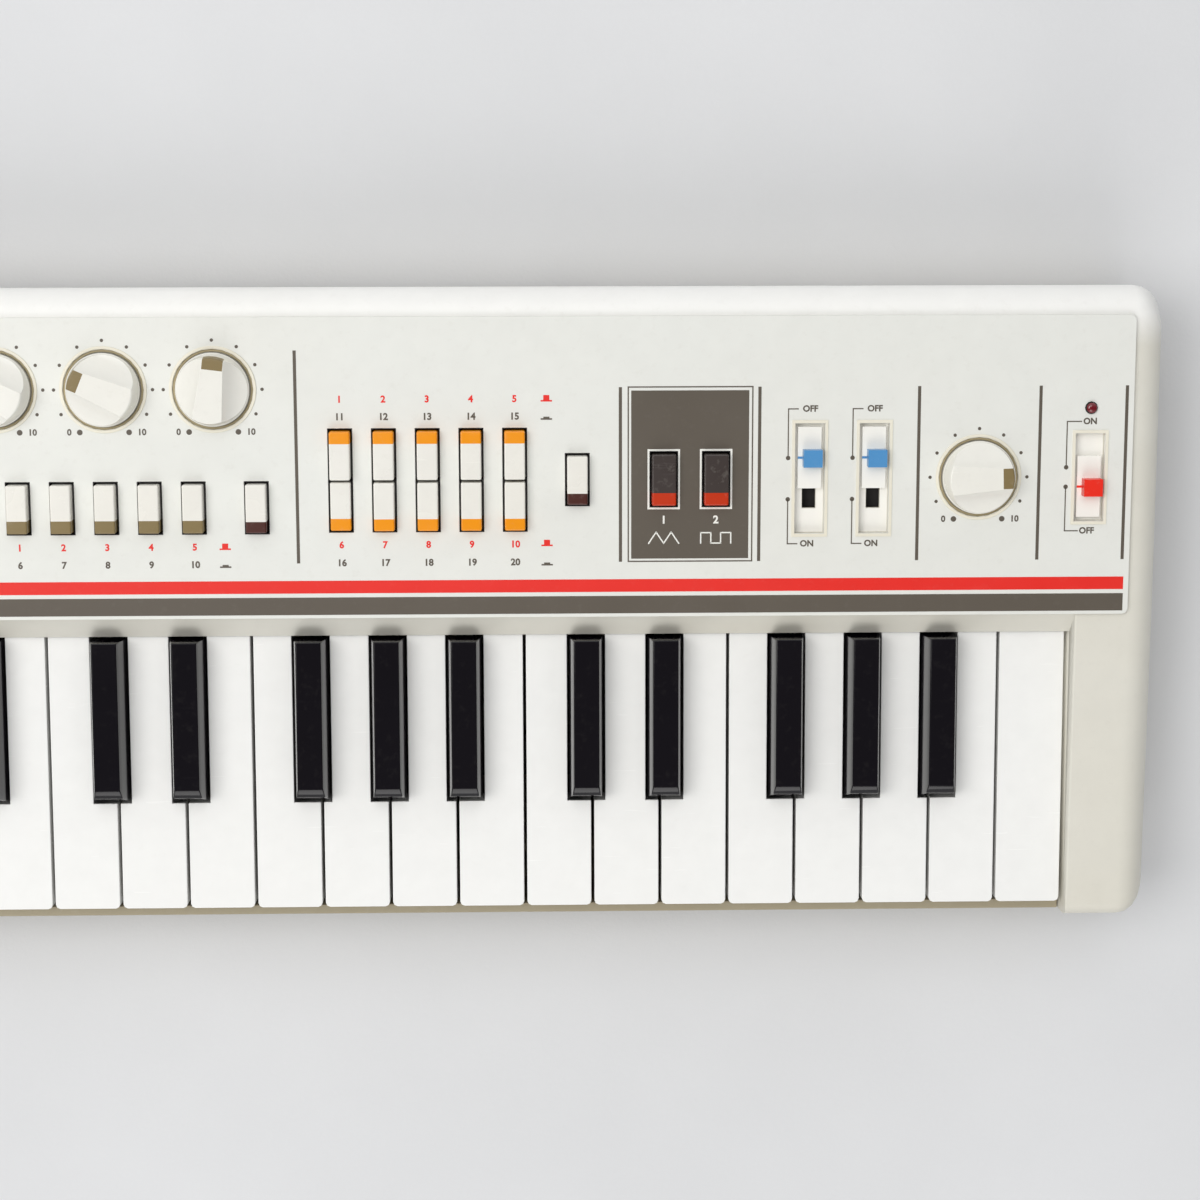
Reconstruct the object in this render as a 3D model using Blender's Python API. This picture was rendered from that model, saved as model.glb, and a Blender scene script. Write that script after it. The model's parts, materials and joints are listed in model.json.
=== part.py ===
"""Portable keyboard with 49 mini keys, a raised control panel and a speaker in the left end.

Units are metres, +Z is up and +X runs to the treble end. The origin is under the middle of the case, on the
surface that the feet stand on. Two working directions are used throughout: "back" is the distance behind the
front edge of the white keys, and "rise" is the height above the top of the white keys. What belongs to the
control panel is placed on the panel's own sloping frame: x, then the distance up the slope from the panel's
front edge, then the height over the panel's face.
"""

import math

import bmesh
import bpy
from mathutils import Matrix, Vector

MM = 0.001

# Keys
KEY_PITCH = 18.4 * MM
KEY_GAP = 0.85 * MM
OCTAVES = 4
WHITE_PER_OCTAVE = 7
SEPARATE_OCTAVES = 2
WHITE_UNDER_CASE = 1.0 * MM
WHITE_HEIGHT = 11.0 * MM
WHITE_WALL = 1.5 * MM
WHITE_TOP_WALL = 2.0 * MM
WHITE_CORNER = 1.2 * MM
WHITE_INNER_CORNER = 0.2 * MM
WHITE_CORNER_STEPS = 2
BLACK_FRONT = 30.0 * MM
BLACK_TO_PANEL = 6.6 * MM
BLACK_BASE_WIDTH = 9.3 * MM
BLACK_SHOULDER_WIDTH = 7.7 * MM
BLACK_TOP_WIDTH = 6.7 * MM
BLACK_RISE = 8.2 * MM
BLACK_SHOULDER = 1.7 * MM
BLACK_NOSE_SLOPE = 1.9 * MM
BLACK_NOSE_ROUND = 2.7 * MM
BLACK_DEPTH = 9.0 * MM
BLACK_WALL = 1.4 * MM
BLACK_SIDE_GAP = 0.5 * MM
BLACK_NOSE_GAP = 0.7 * MM
# How far each black key sits to the treble side of the line between its two white keys
BLACK_OFFSETS = {1: -1.7 * MM, 2: 1.2 * MM, 4: -2.5 * MM, 5: -0.1 * MM, 6: 2.2 * MM}
WHITE_LETTERS = "cdefgab"
FIRST_OCTAVE_NAME = 2

# Key pivot: a rounded rail in the bottom case, and the tails that sit over it
TAIL_TO_MAGNET = 6.5 * MM
PIVOT_DROP = 9.0 * MM
RAIL_RADIUS = 1.5 * MM
PIVOT_CLEARANCE = 0.3 * MM
TAIL_TOP = 3.5 * MM
TAIL_BOTTOM = 3.3 * MM
TAIL_BEHIND = 6.5 * MM
WHITE_TAIL_WIDTH = 7.0 * MM
TAIL_GAP = 0.6 * MM
TAIL_LAP = 4.0 * MM
COMB_RAIL_START = 3.5 * MM
COMB_RAIL_GAP = 0.8 * MM
NOTCH_STEPS = 4
RAIL_STEPS = 6

# Case
CHEEK_WIDTH = 22.4 * MM
CHEEK_GAP = 0.8 * MM
FRONT_LEDGE = 3.5 * MM
CASE_DEPTH = 172.0 * MM
FOOT_HEIGHT = 2.0 * MM
FOOT_RADIUS = 7.0 * MM
WALL = 2.4 * MM
EDGE_ROUND = 8.0 * MM
EDGE_STEPS = 5
PARTING_HEIGHT = 20.0 * MM
SEAM = 0.3 * MM
FLOOR_CHAMFER = 2.0 * MM
CHEEK_FRONT_RISE = 3.0 * MM
CHEEK_FRONT_ROUND = 3.5 * MM
CHEEK_FRONT_STEPS = 4
REAR_ROUND = 7.5 * MM
REAR_STEPS = 5
FASCIA_RUN = 5.8 * MM
FASCIA_FOOT_RISE = 0.9 * MM
LIP_TOP_DROP = 6.5 * MM
LIP_THICKNESS = 2.5 * MM

# Control panel
PANEL_REAR_MARGIN = 7.75 * MM
PANEL_RISE = 9.0 * MM
PANEL_SLOPE = math.radians(2.0)
PANEL_LENGTH = 79.8 * MM
PANEL_END_MARGIN = 8.6 * MM
PLATE_THICKNESS = 1.0 * MM
PLATE_SEAT_GAP = 0.25 * MM
PLATE_CORNER = 1.5 * MM
PLATE_CORNER_STEPS = 3

# Sections of the panel, counted from its right end
PANEL_RIGHT_STRIP = 1.9 * MM
POWER_SECTION = 22.9 * MM
VOLUME_SECTION = 32.2 * MM
EFFECT_SECTION = 42.2 * MM
MODULATION_SECTION = 36.8 * MM
TONE_SECTION = 85.4 * MM
ROW_CENTRE = 36.8 * MM
POWER_INSET = 9.4 * MM
VIBRATO_INSET = 13.4 * MM

# Push buttons
BUTTON_LENGTH = 12.8 * MM
BUTTON_WIDTH = 5.4 * MM
BUTTON_PROUD = 3.0 * MM
BUTTON_TRAVEL = 1.8 * MM
LATCHED_DEPTH = 1.4 * MM
BUTTON_SIDE_GAP = 0.6 * MM
BUTTON_END_GAP = 0.7 * MM
BUTTON_FLANGE = 1.4 * MM
BUTTON_FLANGE_HEIGHT = 1.0 * MM
FLANGE_GAP = 0.35 * MM
TONE_COLUMNS = 5
TONE_PITCH = 11.5 * MM
TONE_FIRST = 11.5 * MM
TONE_SELECT = 74.0 * MM
TONE_DIVIDER = 0.7 * MM
RHYTHM_COUNT = 5
RHYTHM_PITCH = 11.53 * MM
RHYTHM_LAST = 27.3 * MM
RHYTHM_SELECT = 10.7 * MM
RHYTHM_ROW = 29.7 * MM
MODULATION_PITCH = 13.85 * MM
MODULATION_WIDTH = 6.4 * MM
MODULATION_LENGTH = 13.6 * MM
MODULATION_PROUD = 2.6 * MM

# Slide switches
SLIDER_BODY_LENGTH = 16.4 * MM
SLIDER_BODY_WIDTH = 6.3 * MM
SLIDER_BODY_HEIGHT = 1.2 * MM
SLIDER_CAP_LENGTH = 4.6 * MM
SLIDER_CAP_WIDTH = 5.0 * MM
SLIDER_CAP_PROUD = 2.8 * MM
SLIDER_CAP_SHIFT = 0.6 * MM
SLIDER_END_GAP = 0.95 * MM
SLIDER_SIDE_GAP = 0.8 * MM
SLIDER_POCKET = 1.0 * MM
SLIDER_FLOOR_GAP = 0.25 * MM
SLIDER_STEM_WIDTH = 2.4 * MM
SLIDER_STEM_LENGTH = 4.0 * MM
SLIDER_SLOT_GAP = 0.6 * MM
SLIDER_SPACING = 17.1 * MM
EFFECT_TRAVEL = 11.0 * MM
POWER_TRAVEL = 5.1 * MM
STEM_DEPTH = 5.0 * MM

# Rotary knobs
KNOB_RADIUS = 9.7 * MM
KNOB_HOLE_GAP = 0.9 * MM
KNOB_DISC_PROUD = 1.5 * MM
KNOB_SEAT_GAP = 0.35 * MM
KNOB_GRIP_PROUD = 6.6 * MM
KNOB_GRIP_TOP_WIDTH = 5.6 * MM
KNOB_GRIP_BASE_WIDTH = 9.6 * MM
KNOB_GRIP_INSET = 0.4 * MM
KNOB_GRIP_BASE_INSET = 0.2 * MM
KNOB_GRIP_POINT = 3.2 * MM
KNOB_HUB_RADIUS = 4.5 * MM
KNOB_HUB_DEPTH = 4.5 * MM
KNOB_HUB_GAP = 0.4 * MM
SHAFT_RADIUS = 3.0 * MM
SHAFT_GAP = 0.3 * MM
SHAFT_PROUD = 3.0 * MM
KNOB_SIDES = 24
KNOB_SPACING = 28.6 * MM
KNOB_ROW = 61.0 * MM
RHYTHM_KNOB = 21.5 * MM
VOLUME_ROW = 37.0 * MM
TEMPO_ANGLE = math.radians(60)
ACCOMPANIMENT_ANGLE = math.radians(67)
RHYTHM_ANGLE = math.radians(-7)
VOLUME_ANGLE = math.radians(-88)

# Boards inside
BOARD_THICKNESS = 1.6 * MM
BOARD_DEPTH = 10.9 * MM
BOARD_FRONT = 16.0 * MM
BOARD_TO_POST = 1.0 * MM
BOARD_TO_SPEAKER = 23.4 * MM
BOARD_RIGHT_MARGIN = 9.0 * MM
PART_SINK = 0.4 * MM
POT_RADIUS = 8.0 * MM
POT_GAP = 0.4 * MM
SWITCH_GAP = 0.4 * MM
SWITCH_MARGIN = 0.4 * MM
LAMP_RADIUS = 1.5 * MM
LAMP_PROUD = 0.7 * MM
LAMP_GAP = 0.2 * MM
LAMP_TO_SWITCH = 6.8 * MM
BOSS_RADIUS = 2.5 * MM
BOSS_MARGIN = 6.0 * MM

# Sockets in the rear wall
SOCKET_WIDTH = 14.0 * MM
SOCKET_HEIGHT = 12.0 * MM
SOCKET_LENGTH = 18.0 * MM
SOCKET_BORE = 3.4 * MM
SOCKET_BORE_DEPTH = 16.0 * MM
SOCKET_WALL_GAP = 0.4 * MM
SOCKET_WINDOW = 4.8 * MM
SOCKET_PLACES = {"phones": 48.0 * MM, "line": 74.0 * MM, "supply": 100.0 * MM}
SUPPLY_PIN_RADIUS = 1.0 * MM
SUPPLY_PIN_LENGTH = 10.0 * MM

# Key contact board
CONTACT_FRONT = 32.0 * MM
CONTACT_BACK = 60.0 * MM
CONTACT_RUBBER_HEIGHT = 7.8 * MM
CONTACT_RUBBER_GAP = 3.6 * MM
CONTACT_RUBBER_WIDTH = 7.0 * MM
CONTACT_RUBBER_BACKS = (40.0 * MM, 51.0 * MM)
CONTACT_END_MARGIN = 2.0 * MM
CONTACT_POSTS = 6
CONTACT_POST_SPACING = 100.0 * MM

# Speaker, an oval one, and its grille
SPEAKER_LEFT = 64.0 * MM
SPEAKER_REAR_GAP = 0.15 * MM
SPEAKER_HALF_LENGTH = 44.0 * MM
SPEAKER_HALF_WIDTH = 24.5 * MM
SPEAKER_FRAME = 1.6 * MM
SPEAKER_FLANGE = 6.0 * MM
SPEAKER_BASKET_RIM = 0.8 * MM
SPEAKER_SURROUND = 5.0 * MM
SPEAKER_BASKET = 12.0 * MM
SPEAKER_MAGNET_RADIUS = 17.0 * MM
SPEAKER_MAGNET = 9.0 * MM
CONE_HALF_LENGTH = 12.0 * MM
CONE_HALF_WIDTH = 8.5 * MM
CONE_DEPTH = 9.5 * MM
SPEAKER_GAP = 0.35 * MM
SPEAKER_SIDES = 24
GRILLE_SLOTS = 17
GRILLE_PITCH = 6.2 * MM
GRILLE_SLOT_WIDTH = 2.6 * MM
GRILLE_SLOT_LENGTH = 40.0 * MM
GRILLE_MARGIN = 3.0 * MM

# Battery bay in the bottom case, for five cells in a row
CELL_DIAMETER = 26.2 * MM
CELL_LENGTH = 50.0 * MM
CELLS = 5
CELL_PLAY = 2.8 * MM
CONTACT_ROOM = 14.0 * MM
BAY_REAR_MARGIN = 11.5 * MM
BAY_WALL = 2.0 * MM
BOARD_OVER_BAY = 2.16 * MM
COVER_THICKNESS = 2.0 * MM
COVER_LAP = 4.7 * MM
COVER_FRONT_LAP = 2.7 * MM
COVER_GAP = 0.3 * MM
COVER_TONGUE = 2.2 * MM
COVER_TONGUE_THICKNESS = 0.9 * MM
COVER_BACK_MARGIN = 2.3 * MM
PAD_HEIGHT = 5.0 * MM
PAD_MARGIN = 5.0 * MM

# Posts, screws and feet
POST_RADIUS = 3.0 * MM
SCREW_RECESS_RADIUS = 2.2 * MM
SCREW_RECESS_DEPTH = 1.4 * MM
CHEEK_POST_BACK = 14.0 * MM
REAR_POST_MARGIN = 18.5 * MM
SPINE_POST_MARGIN = 5.7 * MM
STOP_RIB_BACK = 12.0 * MM
STOP_RIB_THICKNESS = 3.0 * MM
KEY_PRESS = math.radians(2.5)
STOP_CLEARANCE = 0.4 * MM
FOOT_SIDE_MARGIN = 40.0 * MM
FOOT_FRONT_BACK = 14.0 * MM
FOOT_REAR_MARGIN = 18.5 * MM

ROUND_SIDES = 12

# Places that follow from the sizes above
WHITE_COUNT = OCTAVES * WHITE_PER_OCTAVE + 1
KEYBED_HALF = WHITE_COUNT * KEY_PITCH / 2
OPENING_HALF = KEYBED_HALF + CHEEK_GAP
CASE_HALF = OPENING_HALF + CHEEK_WIDTH
BACK_TO_Y = CASE_DEPTH / 2 - FRONT_LEDGE
CASE_BACK = CASE_DEPTH - FRONT_LEDGE
PANEL_BACK = CASE_BACK - PANEL_REAR_MARGIN - PANEL_LENGTH * math.cos(PANEL_SLOPE)
FASCIA_FOOT_BACK = PANEL_BACK - FASCIA_RUN
WHITE_REACH = PANEL_BACK - WHITE_UNDER_CASE
BLACK_BACK = PANEL_BACK - BLACK_TO_PANEL
REAR_POST_BACK = CASE_BACK - REAR_POST_MARGIN
SPINE_POST_BACK = CASE_BACK - SPINE_POST_MARGIN
FOOT_REAR_BACK = CASE_BACK - FOOT_REAR_MARGIN
PLATE_HALF = CASE_HALF - PANEL_END_MARGIN
BLACK_SHIFT = max(abs(offset) for offset in BLACK_OFFSETS.values())
BLACK_TAIL_WIDTH = KEY_PITCH - 2 * (BLACK_SHIFT + TAIL_GAP) - WHITE_TAIL_WIDTH
SEAT_DEPTH = PLATE_THICKNESS + PLATE_SEAT_GAP
POWER_RIGHT = PLATE_HALF - PANEL_RIGHT_STRIP
VOLUME_RIGHT = POWER_RIGHT - POWER_SECTION
EFFECT_RIGHT = VOLUME_RIGHT - VOLUME_SECTION
MODULATION_RIGHT = EFFECT_RIGHT - EFFECT_SECTION
TONE_RIGHT = MODULATION_RIGHT - MODULATION_SECTION
RHYTHM_RIGHT = TONE_RIGHT - TONE_SECTION
POWER_CENTRE = POWER_RIGHT - POWER_INSET
VOLUME_CENTRE = VOLUME_RIGHT - VOLUME_SECTION / 2
VIBRATO_CENTRE = MODULATION_RIGHT + VIBRATO_INSET
MODULATION_CENTRE = MODULATION_RIGHT - MODULATION_SECTION / 2
SPEAKER_CENTRE = SPEAKER_LEFT - PLATE_HALF
REAR_ROOM = (CASE_BACK - WALL - REAR_ROUND - PANEL_BACK) / math.cos(PANEL_SLOPE)
SPEAKER_UP_SLOPE = REAR_ROOM - SPEAKER_HALF_WIDTH - SPEAKER_REAR_GAP
PIVOT_BACK = PANEL_BACK + SPEAKER_UP_SLOPE - SPEAKER_MAGNET_RADIUS - TAIL_TO_MAGNET - TAIL_BEHIND
LAMP_UP_SLOPE = ROW_CENTRE + (SLIDER_BODY_LENGTH + POWER_TRAVEL) / 2 + SLIDER_END_GAP + LAMP_TO_SWITCH
BOARD_LEFT = SPEAKER_CENTRE + SPEAKER_HALF_LENGTH + BOARD_TO_SPEAKER
BOARD_BACK = SPINE_POST_BACK - POST_RADIUS - BOARD_TO_POST - PANEL_BACK
TRAY_FLOOR = FOOT_HEIGHT + WALL
BAY_HALF = (CELLS * CELL_LENGTH + CONTACT_ROOM) / 2
BAY_BACK = CASE_BACK - BAY_REAR_MARGIN
BAY_FRONT = BAY_BACK - CELL_DIAMETER - CELL_PLAY
BAY_FLOOR = FOOT_HEIGHT + PAD_HEIGHT
COVER_HALF = BAY_HALF + COVER_LAP
SUPPLY_SOCKET_LEFT = PLATE_HALF - SOCKET_PLACES["supply"] - SOCKET_WIDTH / 2
SPINE_POST_X = (COVER_HALF + COVER_TONGUE + SUPPLY_SOCKET_LEFT) / 2
COVER_FRONT = BAY_FRONT - COVER_FRONT_LAP
COVER_BACK = CASE_BACK - COVER_BACK_MARGIN
BAY_TOP = FOOT_HEIGHT + COVER_THICKNESS + COVER_GAP + CELL_DIAMETER + CELL_PLAY / 2

# The height is a stack: feet, cover, cells, the bay's roof, the board over it and the panel on top
BOARD_UNDERSIDE = (BOARD_DEPTH + BOARD_THICKNESS) / math.cos(PANEL_SLOPE)
SLOPE_AT_BAY = (BAY_FRONT - BAY_WALL - PANEL_BACK) * math.tan(PANEL_SLOPE)
PANEL_HEIGHT = BAY_TOP + BAY_WALL + BOARD_OVER_BAY + BOARD_UNDERSIDE - SLOPE_AT_BAY
KEY_TOP_HEIGHT = PANEL_HEIGHT - PANEL_RISE
CONTACT_RUBBER_TOP = KEY_TOP_HEIGHT - WHITE_HEIGHT - CONTACT_RUBBER_GAP
CONTACT_BOARD_HEIGHT = CONTACT_RUBBER_TOP - CONTACT_RUBBER_HEIGHT - BOARD_THICKNESS
SLOT_WIDTH = BUTTON_WIDTH + 2 * BUTTON_SIDE_GAP
CASE_UNDERSIDE = SEAT_DEPTH + WALL
BUTTON_ROOT = CASE_UNDERSIDE + FLANGE_GAP + BUTTON_FLANGE_HEIGHT
WHITE_NOTCHES = {0: (None, 1), 1: (1, 2), 2: (2, None), 3: (None, 4), 4: (4, 5), 5: (5, 6), 6: (6, None)}
LAST_WHITE = WHITE_COUNT - 1


def world(x, back, height):
    """A point from its distance behind the white keys' front edge and its height over the table."""
    return Vector((x, back - BACK_TO_Y, height))


def surface_rise(back, drop=0.0):
    """How high the case's top lies over the white keys at a distance behind their front edge."""
    seat = PANEL_RISE - SEAT_DEPTH / math.cos(PANEL_SLOPE) - drop
    if back >= PANEL_BACK:
        return seat + (back - PANEL_BACK) * math.tan(PANEL_SLOPE)
    start = CHEEK_FRONT_RISE - drop
    return start + (seat - start) * back / PANEL_BACK


def arc(centre, radii, first, last, steps):
    """Points on an elliptic arc from one angle to another, both ends included."""
    angles = [first + (last - first) * step / steps for step in range(steps + 1)]
    return [(centre[0] + radii[0] * math.cos(a), centre[1] + radii[1] * math.sin(a)) for a in angles]


def circle(radius, sides, centre=(0.0, 0.0)):
    return arc(centre, (radius, radius), 0, 2 * math.pi * (sides - 1) / sides, sides - 1)


def material(name, colour, roughness, metallic=0.0):
    made = bpy.data.materials.new(name)
    made.use_nodes = True
    made.diffuse_color = (*colour, 1.0)
    shader = made.node_tree.nodes["Principled BSDF"]
    shader.inputs["Base Color"].default_value = (*colour, 1.0)
    shader.inputs["Roughness"].default_value = roughness
    shader.inputs["Metallic"].default_value = metallic
    return made


def add_loft(mesh, rings):
    """Skins a list of rings of equal length and closes the first and the last."""
    loops = [[mesh.verts.new(point) for point in ring] for ring in rings]
    for lower, upper in zip(loops, loops[1:]):
        for index in range(len(lower)):
            after = (index + 1) % len(lower)
            mesh.faces.new((lower[index], lower[after], upper[after], upper[index]))
    mesh.faces.new(list(reversed(loops[0])))
    mesh.faces.new(loops[-1])


def add_prism(mesh, outline, low, high):
    add_loft(mesh, [[(x, y, z) for x, y in outline] for z in (low, high)])


def add_box(mesh, low, high):
    outline = [(low[0], low[1]), (high[0], low[1]), (high[0], high[1]), (low[0], high[1])]
    add_prism(mesh, outline, low[2], high[2])


def add_long_prism(mesh, profile, left, right):
    """A prism that runs along X, from a profile of depth and height."""
    add_loft(mesh, [[(x, y, z) for y, z in profile] for x in (left, right)])


def finish(name, mesh, coat=None, place=(0, 0, 0), parent=None):
    """Turns a bmesh into a named object with outward faces."""
    bmesh.ops.recalc_face_normals(mesh, faces=mesh.faces)
    data = bpy.data.meshes.new(name)
    mesh.to_mesh(data)
    mesh.free()
    made = bpy.data.objects.new(name, data)
    bpy.context.scene.collection.objects.link(made)
    made.location = place
    made.parent = parent
    if coat:
        data.materials.append(coat)
    return made


def tool(name, mesh, place=(0, 0, 0), parent=None):
    """A shape that only cuts or joins another one."""
    made = finish(name, mesh, place=place, parent=parent)
    made.hide_render = True
    made.display_type = "WIRE"
    return made


def combine(target, operation, other):
    change = target.modifiers.new(other.name, "BOOLEAN")
    change.operation = operation
    change.solver = "EXACT"
    change.object = other


def smooth(made, degrees=32):
    made.data.shade_smooth()
    made.data.set_sharp_from_angle(angle=math.radians(degrees))


def white_outline(index, inset):
    """A white key's outline seen from above, with a notch for each black key beside it.

    The highest key has no black key beside it, so it is a plain rectangle.
    """
    half = (KEY_PITCH - KEY_GAP) / 2 - inset
    corner = max(WHITE_CORNER - inset, WHITE_INNER_CORNER)
    reach = WHITE_REACH - inset
    notch = BLACK_FRONT - BLACK_NOSE_GAP - inset
    clear = BLACK_BASE_WIDTH / 2 + BLACK_SIDE_GAP + inset
    below, above = WHITE_NOTCHES[index % WHITE_PER_OCTAVE] if index != LAST_WHITE else (None, None)
    front, steps = inset + corner, WHITE_CORNER_STEPS
    points = arc((corner - half, front), (corner, corner), math.pi, 1.5 * math.pi, steps)
    points += arc((half - corner, front), (corner, corner), 1.5 * math.pi, 2 * math.pi, steps)
    if above is None:
        points.append((half, reach))
    else:
        edge = KEY_PITCH / 2 + BLACK_OFFSETS[above] - clear
        points += [(half, notch), (edge, notch), (edge, reach)]
    if below is None:
        points.append((-half, reach))
    else:
        edge = BLACK_OFFSETS[below] + clear - KEY_PITCH / 2
        points += [(edge, reach), (edge, notch), (-half, notch)]
    return points


def key_ring(outline, rise, shift=0.0):
    """A level outline of a key, told from the pivot axis."""
    return [(x + shift, back - PIVOT_BACK, rise + PIVOT_DROP) for x, back in outline]


def add_white_head(mesh, index, shift=0.0):
    """The hollow playing part of a white key, open underneath."""
    outer, inner = white_outline(index, 0), white_outline(index, WHITE_WALL)
    add_loft(mesh, [
        key_ring(inner, -WHITE_TOP_WALL, shift),
        key_ring(inner, -WHITE_HEIGHT, shift),
        key_ring(outer, -WHITE_HEIGHT, shift),
        key_ring(outer, 0, shift),
    ])


def black_outline(width, front, inset=0.0):
    half = width / 2 - inset
    back = BLACK_BACK - inset
    return [(-half, front + inset), (half, front + inset), (half, back), (-half, back)]


def add_black_head(mesh, shift=0.0):
    """The hollow playing part of a black key, with drafted sides and a sloping nose."""
    shoulder_rise = BLACK_RISE - BLACK_SHOULDER
    nose = BLACK_FRONT + BLACK_NOSE_SLOPE
    base = black_outline(BLACK_BASE_WIDTH, BLACK_FRONT)
    inner_base = black_outline(BLACK_BASE_WIDTH, BLACK_FRONT, BLACK_WALL)
    inner_top = black_outline(BLACK_SHOULDER_WIDTH, nose, BLACK_WALL)
    add_loft(mesh, [
        key_ring(inner_top, shoulder_rise - BLACK_WALL, shift),
        key_ring(inner_base, 0, shift),
        key_ring(inner_base, -BLACK_DEPTH, shift),
        key_ring(base, -BLACK_DEPTH, shift),
        key_ring(base, 0, shift),
        key_ring(black_outline(BLACK_SHOULDER_WIDTH, nose), shoulder_rise, shift),
        key_ring(black_outline(BLACK_TOP_WIDTH, nose + BLACK_NOSE_ROUND), BLACK_RISE, shift),
    ])


def tail_profile(front, behind):
    """Side view of a key's tail, with the round notch that sits over the pivot rail."""
    notch = RAIL_RADIUS + PIVOT_CLEARANCE
    start = front - PIVOT_BACK
    points = [(start, -TAIL_BOTTOM), (start, TAIL_TOP), (behind, TAIL_TOP), (behind, -TAIL_BOTTOM)]
    points.append((notch, -TAIL_BOTTOM))
    return points + arc((0, 0), (notch, notch), 0, math.pi, NOTCH_STEPS) + [(-notch, -TAIL_BOTTOM)]


def add_tail(mesh, front, behind, width, shift=0.0):
    add_long_prism(mesh, tail_profile(front, behind), shift - width / 2, shift + width / 2)


def key_names():
    """Names for the white and the black keys, lowest first."""
    whites = []
    blacks = {}
    for index in range(WHITE_COUNT):
        letter = WHITE_LETTERS[index % WHITE_PER_OCTAVE]
        octave = FIRST_OCTAVE_NAME + index // WHITE_PER_OCTAVE
        whites.append(f"white_key_{letter}{octave}")
        boundary = index % WHITE_PER_OCTAVE + 1
        if boundary in BLACK_OFFSETS and index != LAST_WHITE:
            blacks[index] = f"black_key_{letter}{octave}_sharp"
    return whites, blacks


def white_centre(index):
    return -KEYBED_HALF + (index + 0.5) * KEY_PITCH


def black_centre(index):
    return white_centre(index) + KEY_PITCH / 2 + BLACK_OFFSETS[index % WHITE_PER_OCTAVE + 1]


def pivot_at(x):
    return world(x, PIVOT_BACK, KEY_TOP_HEIGHT - PIVOT_DROP)


def build_separate_keys(ivory, ebony):
    """The keys of the treble octaves, each one a lever of its own on the pivot rail."""
    whites, blacks = key_names()
    first = (OCTAVES - SEPARATE_OCTAVES) * WHITE_PER_OCTAVE
    for index in range(first, WHITE_COUNT):
        head = bmesh.new()
        add_white_head(head, index)
        key = finish(whites[index], head, ivory, pivot_at(white_centre(index)))
        tail = bmesh.new()
        add_tail(tail, WHITE_REACH - TAIL_LAP, TAIL_BEHIND, WHITE_TAIL_WIDTH)
        combine(key, "UNION", tool(f"tail_{whites[index]}", tail, key.location))
    for index in (index for index in blacks if index >= first):
        head = bmesh.new()
        add_black_head(head)
        key = finish(blacks[index], head, ebony, pivot_at(black_centre(index)))
        tail = bmesh.new()
        add_tail(tail, BLACK_BACK - TAIL_LAP, TAIL_BEHIND, BLACK_TAIL_WIDTH)
        combine(key, "UNION", tool(f"tail_{blacks[index]}", tail, key.location))


def comb_tail_profile(front, levels):
    """A tail that ends in a tongue reaching into the comb's rail, clear of the other comb's rail."""
    notch = RAIL_RADIUS + PIVOT_CLEARANCE
    start = front - PIVOT_BACK
    end = COMB_RAIL_START - PIVOT_CLEARANCE
    tongue = COMB_RAIL_START + PIVOT_CLEARANCE
    low, high = levels[0] + PIVOT_CLEARANCE, levels[1] - PIVOT_CLEARANCE
    points = [(start, -TAIL_BOTTOM), (start, TAIL_TOP), (end, TAIL_TOP), (end, high), (tongue, high)]
    points += [(tongue, low), (end, low), (end, -TAIL_BOTTOM), (notch, -TAIL_BOTTOM)]
    return points + arc((0, 0), (notch, notch), 0, math.pi, NOTCH_STEPS) + [(-notch, -TAIL_BOTTOM)]


def build_comb(name, centres, heads, tail_front, width, levels, coat):
    """Keys of the bass octaves moulded on one rail behind the pivot."""
    rail = bmesh.new()
    left, right = centres[0] - width / 2, centres[-1] + width / 2
    add_box(rail, (left, COMB_RAIL_START, levels[0]), (right, TAIL_BEHIND, levels[1]))
    comb = finish(name, rail, coat, pivot_at(0))
    tails = bmesh.new()
    profile = comb_tail_profile(tail_front, levels)
    for centre in centres:
        add_long_prism(tails, profile, centre - width / 2, centre + width / 2)
    combine(comb, "UNION", tool(f"tails_{name}", tails, comb.location))
    combine(comb, "UNION", tool(f"heads_{name}", heads, comb.location))


def build_combs(ivory, ebony):
    """The bass octaves, with their white and their black keys on combs that stack at the pivot."""
    count = (OCTAVES - SEPARATE_OCTAVES) * WHITE_PER_OCTAVE
    white_heads = bmesh.new()
    for index in range(count):
        add_white_head(white_heads, index, white_centre(index))
    centres = [white_centre(index) for index in range(count)]
    levels = (-TAIL_BOTTOM, -COMB_RAIL_GAP / 2)
    front = WHITE_REACH - TAIL_LAP
    build_comb("white_key_comb_bass", centres, white_heads, front, WHITE_TAIL_WIDTH, levels, ivory)
    black_heads = bmesh.new()
    centres = [black_centre(index) for index in key_names()[1] if index < count]
    for centre in centres:
        add_black_head(black_heads, centre)
    levels = (COMB_RAIL_GAP / 2, TAIL_TOP)
    front = BLACK_BACK - TAIL_LAP
    build_comb("black_key_comb_bass", centres, black_heads, front, BLACK_TAIL_WIDTH, levels, ebony)


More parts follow.
